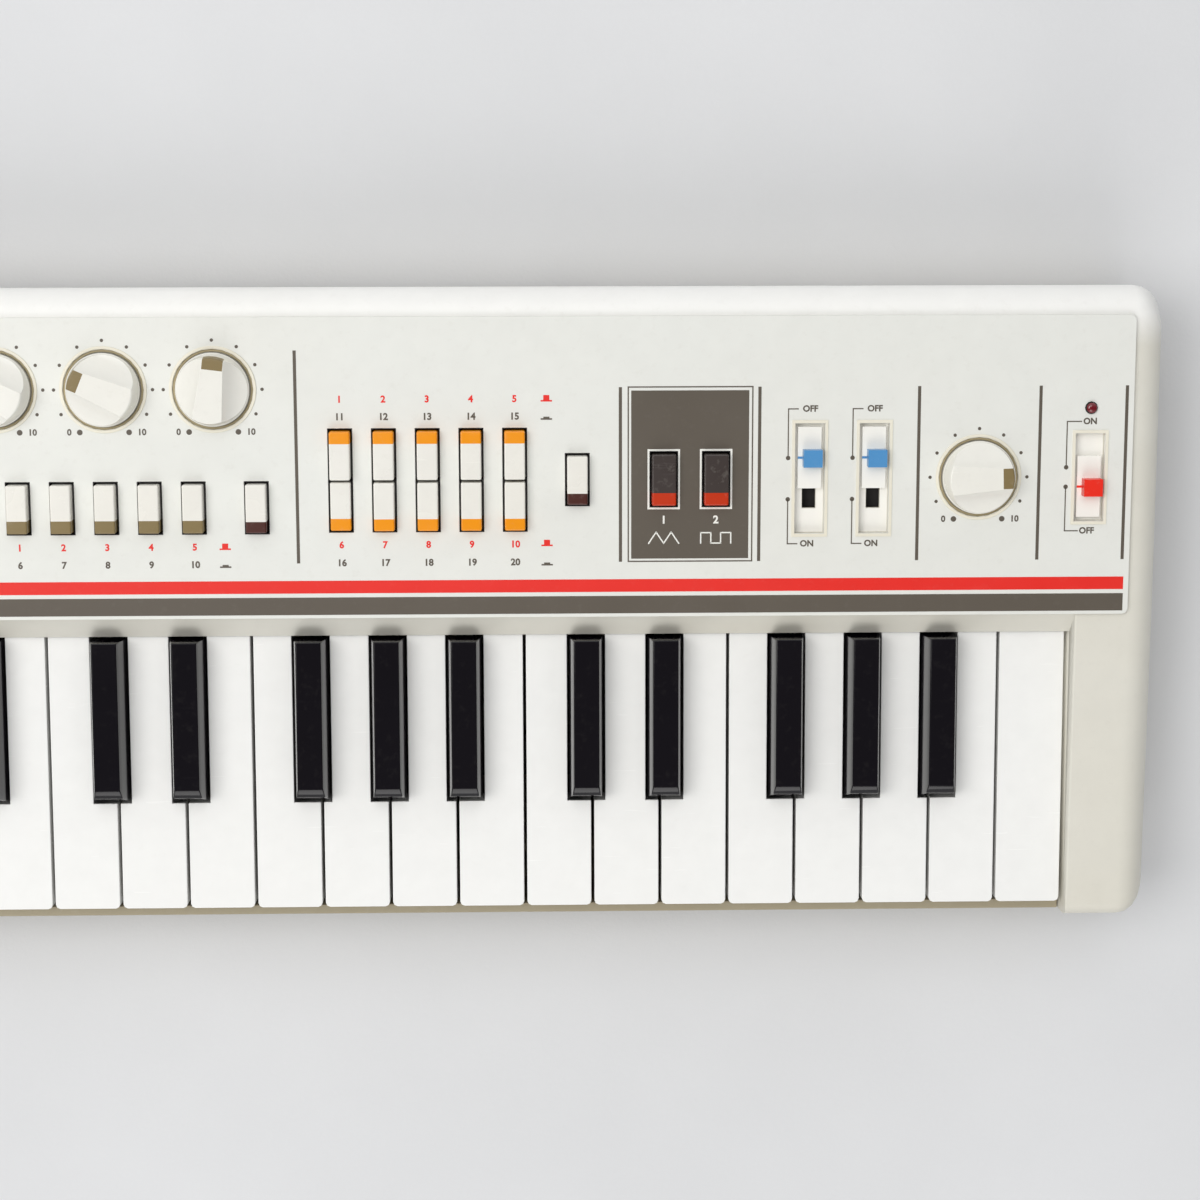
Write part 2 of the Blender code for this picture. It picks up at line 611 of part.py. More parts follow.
def case_section(inset, wall):
    """Side view of the upper case: cheek slope, panel slope and rounded rear edge.

    The inset draws the section in where the case's ends round off, and the wall makes it the cavity's.
    """
    front = -FRONT_LEDGE + wall
    back = CASE_BACK - wall
    seam_height = PARTING_HEIGHT + SEAM - wall
    points = [(back, seam_height), (front, seam_height)]
    corner = CHEEK_FRONT_ROUND
    slope_start = surface_rise(front + corner, wall)
    front_round = arc(
        (front + corner, slope_start - corner), (corner, corner), math.pi, math.pi / 2, CHEEK_FRONT_STEPS
    )
    points += [(y, KEY_TOP_HEIGHT + z) for y, z in front_round]
    points.append((PANEL_BACK, KEY_TOP_HEIGHT + surface_rise(PANEL_BACK, wall)))
    top = surface_rise(back - REAR_ROUND, wall)
    rear_round = arc(
        (back - REAR_ROUND, top - REAR_ROUND), (REAR_ROUND, REAR_ROUND), math.pi / 2, 0, REAR_STEPS
    )
    points += [(y, KEY_TOP_HEIGHT + z) for y, z in rear_round]
    return drawn_in(points, inset, seam_height)


def drawn_in(points, inset, seam_height):
    """Narrows a section front to back and sinks it, except along the seam."""
    middle = CASE_BACK - CASE_DEPTH / 2
    share = 1 - inset / (CASE_DEPTH / 2)
    return [
        (middle + (y - middle) * share, z if abs(z - seam_height) < 1e-6 else z - inset)
        for y, z in points
    ]


def tray_section(inset, wall):
    """Side view of the lower case, with a chamfer along the floor's edges."""
    front = -FRONT_LEDGE + wall
    back = CASE_BACK - wall
    floor = FOOT_HEIGHT + wall
    top = PARTING_HEIGHT + (SEAM if wall else 0)
    rise = min(inset, FLOOR_CHAMFER)
    points = [
        (front + FLOOR_CHAMFER, floor + rise),
        (back - FLOOR_CHAMFER, floor + rise),
        (back, floor + FLOOR_CHAMFER + rise),
        (back, top),
        (front, top),
        (front, floor + FLOOR_CHAMFER + rise),
    ]
    middle = CASE_BACK - CASE_DEPTH / 2
    share = 1 - inset / (CASE_DEPTH / 2)
    return [(middle + (y - middle) * share, z) for y, z in points]


def add_case_form(mesh, section, wall):
    """Lofts a section along X and rounds both ends."""
    half = CASE_HALF - wall
    rounding = EDGE_ROUND - wall
    stations = []
    for step in range(EDGE_STEPS, -1, -1):
        angle = math.pi / 2 * step / EDGE_STEPS
        stations.append((half - rounding + rounding * math.sin(angle), rounding * (1 - math.cos(angle))))
    rings = [[world(-x, y, z) for y, z in section(inset, wall)] for x, inset in stations]
    rings += [[world(x, y, z) for y, z in section(inset, wall)] for x, inset in reversed(stations)]
    add_loft(mesh, rings)


def keybed_profile(wall):
    """Side view of the space that the keys play in, bounded behind by the sloping fascia."""
    front = -FRONT_LEDGE - EDGE_ROUND
    top = KEY_TOP_HEIGHT + 2 * PANEL_RISE
    foot = KEY_TOP_HEIGHT + FASCIA_FOOT_RISE
    crest = KEY_TOP_HEIGHT + surface_rise(PANEL_BACK)
    run = (PANEL_BACK - FASCIA_FOOT_BACK) / (crest - foot)
    crest_back = FASCIA_FOOT_BACK + wall + run * (top - foot)
    if wall:
        points = [(front, 0), (FASCIA_FOOT_BACK + wall, 0), (FASCIA_FOOT_BACK + wall, foot)]
    else:
        points = [(front, 0), (PANEL_BACK, 0), (PANEL_BACK, foot), (FASCIA_FOOT_BACK, foot)]
    return [world(0, y, z)[1:] for y, z in points + [(crest_back, top), (front, top)]]


def add_panel_box(mesh, x, up_slope, width, length, low, high):
    """A box told by its middle on the panel and by its lowest and highest level over the panel's face."""
    corner = (x - width / 2, up_slope - length / 2, low)
    add_box(mesh, corner, (x + width / 2, up_slope + length / 2, high))


def button_spots():
    """Middle of each push button on the panel, by name."""
    spots = {}
    upper = ROW_CENTRE + (BUTTON_LENGTH + TONE_DIVIDER) / 2
    lower = ROW_CENTRE - (BUTTON_LENGTH + TONE_DIVIDER) / 2
    for column in range(TONE_COLUMNS):
        x = RHYTHM_RIGHT + TONE_FIRST + column * TONE_PITCH
        spots[f"tone_button_upper_{column + 1}"] = (x, upper)
        spots[f"tone_button_lower_{column + 1}"] = (x, lower)
    spots["tone_select_button"] = (RHYTHM_RIGHT + TONE_SELECT, ROW_CENTRE)
    for count in range(RHYTHM_COUNT):
        x = RHYTHM_RIGHT - RHYTHM_LAST - (RHYTHM_COUNT - 1 - count) * RHYTHM_PITCH
        spots[f"rhythm_button_{count + 1}"] = (x, RHYTHM_ROW)
    spots["rhythm_select_button"] = (RHYTHM_RIGHT - RHYTHM_SELECT, RHYTHM_ROW)
    return spots


def modulation_spots():
    return {
        "modulation_button_1": (MODULATION_CENTRE - MODULATION_PITCH / 2, ROW_CENTRE),
        "modulation_button_2": (MODULATION_CENTRE + MODULATION_PITCH / 2, ROW_CENTRE),
    }


def knob_spots():
    """Middle of each knob on the panel, by name, with its pointer's angle from straight back."""
    x = RHYTHM_RIGHT - RHYTHM_KNOB
    return {
        "tempo_knob": (x - 2 * KNOB_SPACING, KNOB_ROW, TEMPO_ANGLE),
        "accompaniment_volume_knob": (x - KNOB_SPACING, KNOB_ROW, ACCOMPANIMENT_ANGLE),
        "rhythm_volume_knob": (x, KNOB_ROW, RHYTHM_ANGLE),
        "main_volume_knob": (VOLUME_CENTRE, VOLUME_ROW, VOLUME_ANGLE),
    }


def slider_spots():
    """Middle of each slide switch's recess, by name, with its travel and the body's place at rest."""
    back = EFFECT_TRAVEL / 2
    return {
        "vibrato_slider": (VIBRATO_CENTRE, ROW_CENTRE, EFFECT_TRAVEL, back),
        "sustain_slider": (VIBRATO_CENTRE + SLIDER_SPACING, ROW_CENTRE, EFFECT_TRAVEL, back),
        "power_slider": (POWER_CENTRE, ROW_CENTRE, POWER_TRAVEL, -POWER_TRAVEL / 2),
    }


def window_spots():
    """Window for each push button, as x, place up the slope, width and length."""
    windows = []
    for name, (x, up_slope) in button_spots().items():
        if not name.startswith("tone_button"):
            windows.append((x, up_slope, SLOT_WIDTH, BUTTON_LENGTH + 2 * BUTTON_END_GAP))
    for column in range(TONE_COLUMNS):
        x = RHYTHM_RIGHT + TONE_FIRST + column * TONE_PITCH
        length = 2 * (BUTTON_LENGTH + BUTTON_END_GAP) + TONE_DIVIDER
        windows.append((x, ROW_CENTRE, SLOT_WIDTH, length))
    for x, up_slope in modulation_spots().values():
        width = MODULATION_WIDTH + 2 * BUTTON_SIDE_GAP
        windows.append((x, up_slope, width, MODULATION_LENGTH + 2 * BUTTON_END_GAP))
    return windows


def recess_size(travel):
    """Width and length of the recess that a slide switch runs in."""
    width = SLIDER_BODY_WIDTH + 2 * SLIDER_SIDE_GAP
    return width, SLIDER_BODY_LENGTH + travel + 2 * SLIDER_END_GAP


def grille_size():
    length = (GRILLE_SLOTS - 1) * GRILLE_PITCH + GRILLE_SLOT_WIDTH
    return length, GRILLE_SLOT_LENGTH


def add_round(mesh, x, up_slope, radius, low, high, sides=ROUND_SIDES):
    add_prism(mesh, circle(radius, sides, (x, up_slope)), low, high)


def add_post(mesh, x, back, radius, low, high):
    """An upright post in the case, told by its distance behind the keys' front edge."""
    spot = world(x, back, 0)
    add_prism(mesh, circle(radius, ROUND_SIDES, (spot.x, spot.y)), low, high)


def add_rod_back(mesh, x, height, radius, front, back):
    """A round rod that runs up the panel's slope."""
    outline = circle(radius, ROUND_SIDES, (x, height))
    add_loft(mesh, [[(px, y, pz) for px, pz in outline] for y in (front, back)])


def add_world_box(mesh, half_x, backs, heights):
    """A box across the middle of the case."""
    add_box(mesh, world(-half_x, backs[0], heights[0]), world(half_x, backs[1], heights[1]))


def socket_x(name):
    return PLATE_HALF - SOCKET_PLACES[name]


def boss_spots():
    """Middle of each boss that the main board is screwed to."""
    columns = (BOARD_LEFT + BOSS_MARGIN, RHYTHM_RIGHT, TONE_RIGHT, VOLUME_RIGHT)
    rows = (BOARD_FRONT + BOSS_MARGIN, BOARD_BACK - BOSS_MARGIN)
    return [(x, up_slope) for x in columns for up_slope in rows]


def post_spots():
    """Middle of each post that holds the two case shells together, as x and distance back."""
    cheek = OPENING_HALF + CHEEK_WIDTH / 2
    spots = [(side * cheek, back) for side in (-1, 1) for back in (CHEEK_POST_BACK, REAR_POST_BACK)]
    return spots + [(side * SPINE_POST_X, SPINE_POST_BACK) for side in (-1, 1)]


def build_top_case(panel, plastic):
    """The upper shell: cheeks, sloping panel seat, fascia and rear wall in one moulding."""
    outside = bmesh.new()
    add_case_form(outside, case_section, 0)
    case = finish("top_case", outside, plastic)
    inside = bmesh.new()
    add_case_form(inside, case_section, WALL)
    cavity = tool("case_cavity", inside)
    liner = bmesh.new()
    add_long_prism(liner, keybed_profile(WALL), -OPENING_HALF - WALL, OPENING_HALF + WALL)
    combine(cavity, "DIFFERENCE", tool("keybed_liner", liner))
    combine(case, "DIFFERENCE", cavity)
    keybed = bmesh.new()
    add_long_prism(keybed, keybed_profile(0), -OPENING_HALF, OPENING_HALF)
    combine(case, "DIFFERENCE", tool("keybed_space", keybed))
    bosses = bmesh.new()
    for x, up_slope in boss_spots():
        add_round(bosses, x, up_slope, BOSS_RADIUS, -BOARD_DEPTH + SEAM, -SEAT_DEPTH - WALL / 2)
    combine(case, "UNION", tool("board_bosses", bosses, parent=panel))
    posts = bmesh.new()
    for x, back in post_spots():
        top = KEY_TOP_HEIGHT + surface_rise(back - POST_RADIUS, WALL / 2)
        if back == SPINE_POST_BACK:
            top -= WALL
        add_post(posts, x, back, POST_RADIUS, PARTING_HEIGHT + SEAM, top)
    combine(case, "UNION", tool("case_posts_upper", posts))
    combine(case, "DIFFERENCE", tool("case_windows", case_windows(), parent=panel))
    combine(case, "DIFFERENCE", tool("slider_pockets", slider_pockets(), parent=panel))
    return case


def case_windows():
    """Everything that goes right through the upper shell: button windows, slots, bores and sockets."""
    low, high = -CASE_UNDERSIDE - WALL, WALL
    cuts = bmesh.new()
    for x, up_slope, width, length in window_spots():
        add_panel_box(cuts, x, up_slope, width, length, low, high)
    for x, up_slope, travel, _ in slider_spots().values():
        width = SLIDER_STEM_WIDTH + 2 * SLIDER_SLOT_GAP
        add_panel_box(cuts, x, up_slope, width, SLIDER_STEM_LENGTH + travel + 2 * SLIDER_SLOT_GAP, low, high)
    for x, up_slope, _ in knob_spots().values():
        add_round(cuts, x, up_slope, KNOB_HUB_RADIUS + KNOB_HUB_GAP, low, high)
    add_round(cuts, POWER_CENTRE, LAMP_UP_SLOPE, LAMP_RADIUS + LAMP_GAP, low, high)
    for count in range(GRILLE_SLOTS):
        x = SPEAKER_CENTRE + (count - (GRILLE_SLOTS - 1) / 2) * GRILLE_PITCH
        add_panel_box(cuts, x, SPEAKER_UP_SLOPE, GRILLE_SLOT_WIDTH, GRILLE_SLOT_LENGTH, low, high)
    rear = (CASE_BACK - PANEL_BACK) / math.cos(PANEL_SLOPE)
    for name in SOCKET_PLACES:
        height = -BOARD_DEPTH - BOARD_THICKNESS - SOCKET_HEIGHT / 2
        add_rod_back(cuts, socket_x(name), height, SOCKET_WINDOW, rear - 2 * WALL, rear + 2 * WALL)
    return cuts


def slider_pockets():
    """Sunk floors under the slide switches."""
    cuts = bmesh.new()
    for x, up_slope, travel, _ in slider_spots().values():
        width, length = recess_size(travel)
        add_panel_box(cuts, x, up_slope, width, length, -SEAT_DEPTH - SLIDER_POCKET, 0)
    return cuts


def build_plate(panel, plastic):
    """The printed face plate, with its own windows in line with those of the shell below."""
    corner = PLATE_CORNER
    outline = []
    for x, y, first in (
        (PLATE_HALF - corner, corner, -math.pi / 2),
        (PLATE_HALF - corner, PANEL_LENGTH - corner, 0),
        (corner - PLATE_HALF, PANEL_LENGTH - corner, math.pi / 2),
        (corner - PLATE_HALF, corner, math.pi),
    ):
        outline += arc((x, y), (corner, corner), first, first + math.pi / 2, PLATE_CORNER_STEPS)
    sheet = bmesh.new()
    add_prism(sheet, outline, -PLATE_THICKNESS, 0)
    plate = finish("panel_plate", sheet, plastic, parent=panel)
    cuts = bmesh.new()
    low, high = -2 * PLATE_THICKNESS, PLATE_THICKNESS
    for x, up_slope, width, length in window_spots():
        add_panel_box(cuts, x, up_slope, width, length, low, high)
    for x, up_slope, travel, _ in slider_spots().values():
        add_panel_box(cuts, x, up_slope, *recess_size(travel), low, high)
    for x, up_slope, _ in knob_spots().values():
        add_round(cuts, x, up_slope, KNOB_RADIUS + KNOB_HOLE_GAP, low, high, KNOB_SIDES)
    add_round(cuts, POWER_CENTRE, LAMP_UP_SLOPE, LAMP_RADIUS + LAMP_GAP, low, high)
    width, length = grille_size()
    margin = 2 * GRILLE_MARGIN
    add_panel_box(cuts, SPEAKER_CENTRE, SPEAKER_UP_SLOPE, width + margin, length + margin, low, high)
    combine(plate, "DIFFERENCE", tool("plate_windows", cuts, parent=panel))


def build_bottom_case(plastic):
    """The tray: floor, front lip, pivot rail, battery bay, key stop, posts and feet."""
    outside = bmesh.new()
    add_case_form(outside, tray_section, 0)
    tray = finish("bottom_case", outside, plastic)
    inside = bmesh.new()
    add_case_form(inside, tray_section, WALL)
    combine(tray, "DIFFERENCE", tool("tray_cavity", inside))
    root = TRAY_FLOOR - WALL / 2
    pad = bmesh.new()
    half = COVER_HALF + COVER_TONGUE + PAD_MARGIN
    add_world_box(pad, half, (COVER_FRONT - PAD_MARGIN, CASE_BACK - WALL / 2), (root, BAY_FLOOR))
    combine(tray, "UNION", tool("bay_pad", pad))
    ribs = bmesh.new()
    lip = (-FRONT_LEDGE, LIP_THICKNESS - FRONT_LEDGE)
    add_world_box(ribs, OPENING_HALF - SEAM, lip, (PARTING_HEIGHT - WALL, KEY_TOP_HEIGHT - LIP_TOP_DROP))
    pressed = KEY_TOP_HEIGHT - WHITE_HEIGHT - (PIVOT_BACK - STOP_RIB_BACK) * math.tan(KEY_PRESS)
    stop = (STOP_RIB_BACK, STOP_RIB_BACK + STOP_RIB_THICKNESS)
    add_world_box(ribs, KEYBED_HALF, stop, (root, pressed - STOP_CLEARANCE))
    pivot = world(0, PIVOT_BACK, KEY_TOP_HEIGHT - PIVOT_DROP)
    rail = arc((pivot.y, pivot.z), (RAIL_RADIUS, RAIL_RADIUS), 0, math.pi, RAIL_STEPS)
    rail += [(pivot.y - RAIL_RADIUS, root), (pivot.y + RAIL_RADIUS, root)]
    add_long_prism(ribs, rail, -KEYBED_HALF, KEYBED_HALF)
    add_world_box(
        ribs,
        BAY_HALF + BAY_WALL,
        (BAY_FRONT - BAY_WALL, BAY_BACK + BAY_WALL),
        (BAY_FLOOR - WALL / 2, BAY_TOP + BAY_WALL),
    )
    combine(tray, "UNION", tool("tray_ribs", ribs))
    posts = bmesh.new()
    for x, back in post_spots():
        add_post(posts, x, back, POST_RADIUS, root, PARTING_HEIGHT)
    for count in range(CONTACT_POSTS):
        x = (count - (CONTACT_POSTS - 1) / 2) * CONTACT_POST_SPACING
        middle = (CONTACT_FRONT + CONTACT_BACK) / 2
        add_post(posts, x, middle, POST_RADIUS, root, CONTACT_BOARD_HEIGHT - SEAM)
    for x, back in foot_spots():
        add_post(posts, x, back, FOOT_RADIUS, 0, FOOT_HEIGHT + WALL / 3)
    combine(tray, "UNION", tool("posts_and_feet", posts))
    combine(tray, "DIFFERENCE", tool("bay_space", bay_space()))
    combine(tray, "DIFFERENCE", tool("cover_recess", cover_recess()))
    screws = bmesh.new()
    for x, back in post_spots():
        add_post(screws, x, back, SCREW_RECESS_RADIUS, 0, FOOT_HEIGHT + SCREW_RECESS_DEPTH)
    combine(tray, "DIFFERENCE", tool("screw_recesses", screws))


def foot_spots():
    x = CASE_HALF - FOOT_SIDE_MARGIN
    return [(side * x, back) for side in (-1, 1) for back in (FOOT_FRONT_BACK, FOOT_REAR_BACK)]


def bay_space():
    space = bmesh.new()
    add_world_box(space, BAY_HALF, (BAY_FRONT, BAY_BACK), (0, BAY_TOP))
    return space


def cover_profile(gap):
    """Section of the battery cover across its length, with a tongue along each end."""
    low = FOOT_HEIGHT - (FOOT_HEIGHT if gap else 0)
    high = FOOT_HEIGHT + COVER_THICKNESS + gap
    step = FOOT_HEIGHT + COVER_THICKNESS - COVER_TONGUE_THICKNESS - gap
    inner, outer = COVER_HALF + gap, COVER_HALF + COVER_TONGUE + gap
    side = [(inner, low), (inner, step), (outer, step), (outer, high)]
    return side + [(-x, z) for x, z in reversed(side)]


def add_cover(mesh, gap, front, back):
    rows = (world(0, front, 0).y, world(0, back, 0).y)
    add_loft(mesh, [[(x, y, z) for x, z in cover_profile(gap)] for y in rows])


def cover_recess():
    recess = bmesh.new()
    add_cover(recess, COVER_GAP, COVER_FRONT - COVER_GAP, CASE_BACK + WALL)
    return recess


def build_battery_cover(plastic):
    """The cover slides back out of its grooves."""
    cover = bmesh.new()
    add_cover(cover, 0, COVER_FRONT, COVER_BACK)
    made = finish("battery_cover", cover, plastic)
    middle = world(0, (COVER_FRONT + COVER_BACK) / 2, FOOT_HEIGHT)
    made.data.transform(Matrix.Translation(-middle))
    made.location = middle


def build_buttons(panel, plastic, dark):
    """Push buttons with a flange that keeps them under the panel; one tone button is latched down."""
    for name, (x, up_slope) in button_spots().items():
        sunk = LATCHED_DEPTH if name == "tone_button_lower_1" else 0
        size = (BUTTON_WIDTH, BUTTON_LENGTH, BUTTON_PROUD)
        add_button(name, size, (x, up_slope, -sunk), panel, plastic)
    for name, (x, up_slope) in modulation_spots().items():
        size = (MODULATION_WIDTH, MODULATION_LENGTH, MODULATION_PROUD)
        add_button(name, size, (x, up_slope, 0), panel, dark)


def add_button(name, size, place, panel, coat):
    width, length, proud = size
    half = width / 2
    brim = half + BUTTON_FLANGE
    root = -BUTTON_ROOT
    step = root + BUTTON_FLANGE_HEIGHT
    side = [(brim, root), (brim, step), (half, step), (half, proud)]
    section = side + [(-x, z) for x, z in reversed(side)]
    mesh = bmesh.new()
    add_loft(mesh, [[(x, y, z) for x, z in section] for y in (-length / 2, length / 2)])
    finish(name, mesh, coat, place, panel)


def build_sliders(panel, plastic):
    """Slide switches: a shutter in the recess with a raised cap on it and a stem below."""
    face = -SEAT_DEPTH - SLIDER_POCKET + SLIDER_FLOOR_GAP
    for name, (x, up_slope, _, rest) in slider_spots().items():
        shutter = bmesh.new()
        top = face + SLIDER_BODY_HEIGHT
        add_panel_box(shutter, 0, 0, SLIDER_BODY_WIDTH, SLIDER_BODY_LENGTH, face, top)
        slider = finish(name, shutter, plastic, (x, up_slope + rest, 0), panel)
        grips = bmesh.new()
        sink = SLIDER_BODY_HEIGHT / 3
        cap = (SLIDER_CAP_WIDTH, SLIDER_CAP_LENGTH, top - sink, SLIDER_CAP_PROUD)
        add_panel_box(grips, SLIDER_CAP_SHIFT, 0, *cap)
        add_panel_box(grips, 0, 0, SLIDER_STEM_WIDTH, SLIDER_STEM_LENGTH, -STEM_DEPTH, face + sink)
        combine(slider, "UNION", tool(f"cap_and_stem_{name}", grips, slider.location, panel))


def knob_grip_ring(width, height, reach):
    """Level outline of a knob's grip: square at the pointer's end and pointed at the other."""
    half = width / 2
    shoulder = reach - KNOB_GRIP_POINT
    return [
        (-half, -shoulder, height),
        (-half / 2, -reach, height),
        (half / 2, -reach, height),
        (half, -shoulder, height),
        (half, reach, height),
        (-half, reach, height),
    ]


def build_knobs(panel, plastic):
    """Round knobs with a raised grip bar, on shafts that come up through the panel."""
    seat = -SEAT_DEPTH + KNOB_SEAT_GAP
    for name, (x, up_slope, angle) in knob_spots().items():
        disc = bmesh.new()
        add_loft(disc, [
            [(px, py, z) for px, py in circle(radius, KNOB_SIDES)]
            for radius, z in (
                (KNOB_HUB_RADIUS, -KNOB_HUB_DEPTH),
                (KNOB_HUB_RADIUS, seat),
                (KNOB_RADIUS, seat),
                (KNOB_RADIUS, KNOB_DISC_PROUD),
            )
        ])
        knob = finish(name, disc, plastic, (x, up_slope, 0), panel)
        knob.rotation_euler.z = angle
        grip = bmesh.new()
        reach = KNOB_RADIUS - KNOB_GRIP_INSET
        base_reach = math.sqrt(KNOB_RADIUS ** 2 - (KNOB_GRIP_BASE_WIDTH / 2) ** 2) - KNOB_GRIP_BASE_INSET
        add_loft(grip, [
            knob_grip_ring(KNOB_GRIP_BASE_WIDTH, KNOB_DISC_PROUD / 2, base_reach),
            knob_grip_ring(KNOB_GRIP_BASE_WIDTH, KNOB_DISC_PROUD, base_reach),
            knob_grip_ring(KNOB_GRIP_TOP_WIDTH, KNOB_GRIP_PROUD, reach),
        ])
        bore = bmesh.new()
        add_round(bore, 0, 0, SHAFT_RADIUS + SHAFT_GAP, -2 * KNOB_HUB_DEPTH, SHAFT_PROUD + SHAFT_GAP)
        for operation, shape in (("UNION", grip), ("DIFFERENCE", bore)):
            helper = tool(f"{operation.lower()}_{name}", shape, knob.location, panel)
            helper.rotation_euler.z = angle
            combine(knob, operation, helper)
        smooth(knob)


def build_main_board(panel, laminate):
    """The board behind the panel, with its potentiometers, switches, lamp and rear sockets."""
    top, bottom = -BOARD_DEPTH, -BOARD_DEPTH - BOARD_THICKNESS
    sheet = bmesh.new()
    right = PLATE_HALF - BOARD_RIGHT_MARGIN
    add_box(sheet, (BOARD_LEFT, BOARD_FRONT, bottom), (right, BOARD_BACK, top))
    board = finish("main_board", sheet, laminate, parent=panel)
    parts = bmesh.new()
    root = top - PART_SINK
    pot_top = -KNOB_HUB_DEPTH - POT_GAP
    for x, up_slope, _ in knob_spots().values():
        add_round(parts, x, up_slope, POT_RADIUS, root, pot_top)
    switch_top = -BUTTON_ROOT - BUTTON_TRAVEL - SWITCH_GAP
    spots = [(x, y, BUTTON_WIDTH, BUTTON_LENGTH) for x, y in button_spots().values()]
    spots += [(x, y, MODULATION_WIDTH, MODULATION_LENGTH) for x, y in modulation_spots().values()]
    for x, up_slope, width, length in spots:
        size = (width - SWITCH_MARGIN, length - SWITCH_MARGIN)
        add_panel_box(parts, x, up_slope, *size, root, switch_top)
    for x, up_slope, _, _ in slider_spots().values():
        size = (SLIDER_BODY_WIDTH, SLIDER_BODY_LENGTH)
        add_panel_box(parts, x, up_slope, *size, root, -STEM_DEPTH - SWITCH_GAP)
    add_round(parts, POWER_CENTRE, LAMP_UP_SLOPE, LAMP_RADIUS, root, LAMP_PROUD)
    combine(board, "UNION", tool("board_parts", parts, parent=panel))
    extras = bmesh.new()
    for x, up_slope, _ in knob_spots().values():
        add_round(extras, x, up_slope, SHAFT_RADIUS, pot_top - PART_SINK, SHAFT_PROUD)
    wall_face = (CASE_BACK - WALL - PANEL_BACK) / math.cos(PANEL_SLOPE)
    low = bottom - SOCKET_HEIGHT
    mouth = wall_face - SOCKET_WALL_GAP + low * math.tan(PANEL_SLOPE)
    for name in SOCKET_PLACES:
        corner = (socket_x(name) - SOCKET_WIDTH / 2, mouth - SOCKET_LENGTH, low)
        add_box(extras, corner, (socket_x(name) + SOCKET_WIDTH / 2, mouth, bottom + PART_SINK))
    combine(board, "UNION", tool("shafts_and_sockets", extras, parent=panel))
    bores = bmesh.new()
    axis = bottom - SOCKET_HEIGHT / 2
    for name in SOCKET_PLACES:
        add_rod_back(bores, socket_x(name), axis, SOCKET_BORE, mouth - SOCKET_BORE_DEPTH, mouth + WALL)
    combine(board, "DIFFERENCE", tool("socket_bores", bores, parent=panel))
    pin = bmesh.new()
    pin_root = mouth - SOCKET_BORE_DEPTH - PART_SINK
    add_rod_back(pin, socket_x("supply"), axis, SUPPLY_PIN_RADIUS, pin_root, pin_root + SUPPLY_PIN_LENGTH)
    combine(board, "UNION", tool("supply_pin", pin, parent=panel))
    smooth(board)


def build_contact_board(rubber):
    """The strip under the keys: a board with two rows of rubber contacts."""
    half = KEYBED_HALF - CONTACT_END_MARGIN
    top = CONTACT_BOARD_HEIGHT + BOARD_THICKNESS
    sheet = bmesh.new()
    add_world_box(sheet, half, (CONTACT_FRONT, CONTACT_BACK), (CONTACT_BOARD_HEIGHT, top))
    board = finish("key_contact_board", sheet, rubber)
    rows = bmesh.new()
    for middle in CONTACT_RUBBER_BACKS:
        backs = (middle - CONTACT_RUBBER_WIDTH / 2, middle + CONTACT_RUBBER_WIDTH / 2)
        add_world_box(rows, half - CONTACT_END_MARGIN, backs, (top - PART_SINK, CONTACT_RUBBER_TOP))
    combine(board, "UNION", tool("contact_rubbers", rows))


def build_speaker(panel, metal):
    """An oval speaker under the grille: frame, cone, basket and magnet."""
    frame, basket = -SPEAKER_FRAME, -SPEAKER_FRAME - SPEAKER_BASKET
    magnet = (SPEAKER_MAGNET_RADIUS, SPEAKER_MAGNET_RADIUS)
    outer = (SPEAKER_HALF_LENGTH, SPEAKER_HALF_WIDTH)
    basket_rim = (SPEAKER_HALF_LENGTH - SPEAKER_FLANGE, SPEAKER_HALF_WIDTH - SPEAKER_FLANGE)
    cone_rim = (SPEAKER_HALF_LENGTH - SPEAKER_SURROUND, SPEAKER_HALF_WIDTH - SPEAKER_SURROUND)
    rings = (
        (*magnet, basket - SPEAKER_MAGNET),
        (*magnet, basket),
        (*basket_rim, frame - SPEAKER_BASKET_RIM),
        (*basket_rim, frame),
        (*outer, frame),
        (*outer, 0),
        (*cone_rim, 0),
        (CONE_HALF_LENGTH, CONE_HALF_WIDTH, -CONE_DEPTH),
    )
    mesh = bmesh.new()
    add_loft(mesh, [
        [(x * long, y * wide, z) for x, y in circle(1.0, SPEAKER_SIDES)]
        for long, wide, z in rings
    ])
    place = (SPEAKER_CENTRE, SPEAKER_UP_SLOPE, -CASE_UNDERSIDE - SPEAKER_GAP)
    smooth(finish("speaker", mesh, metal, place, panel))


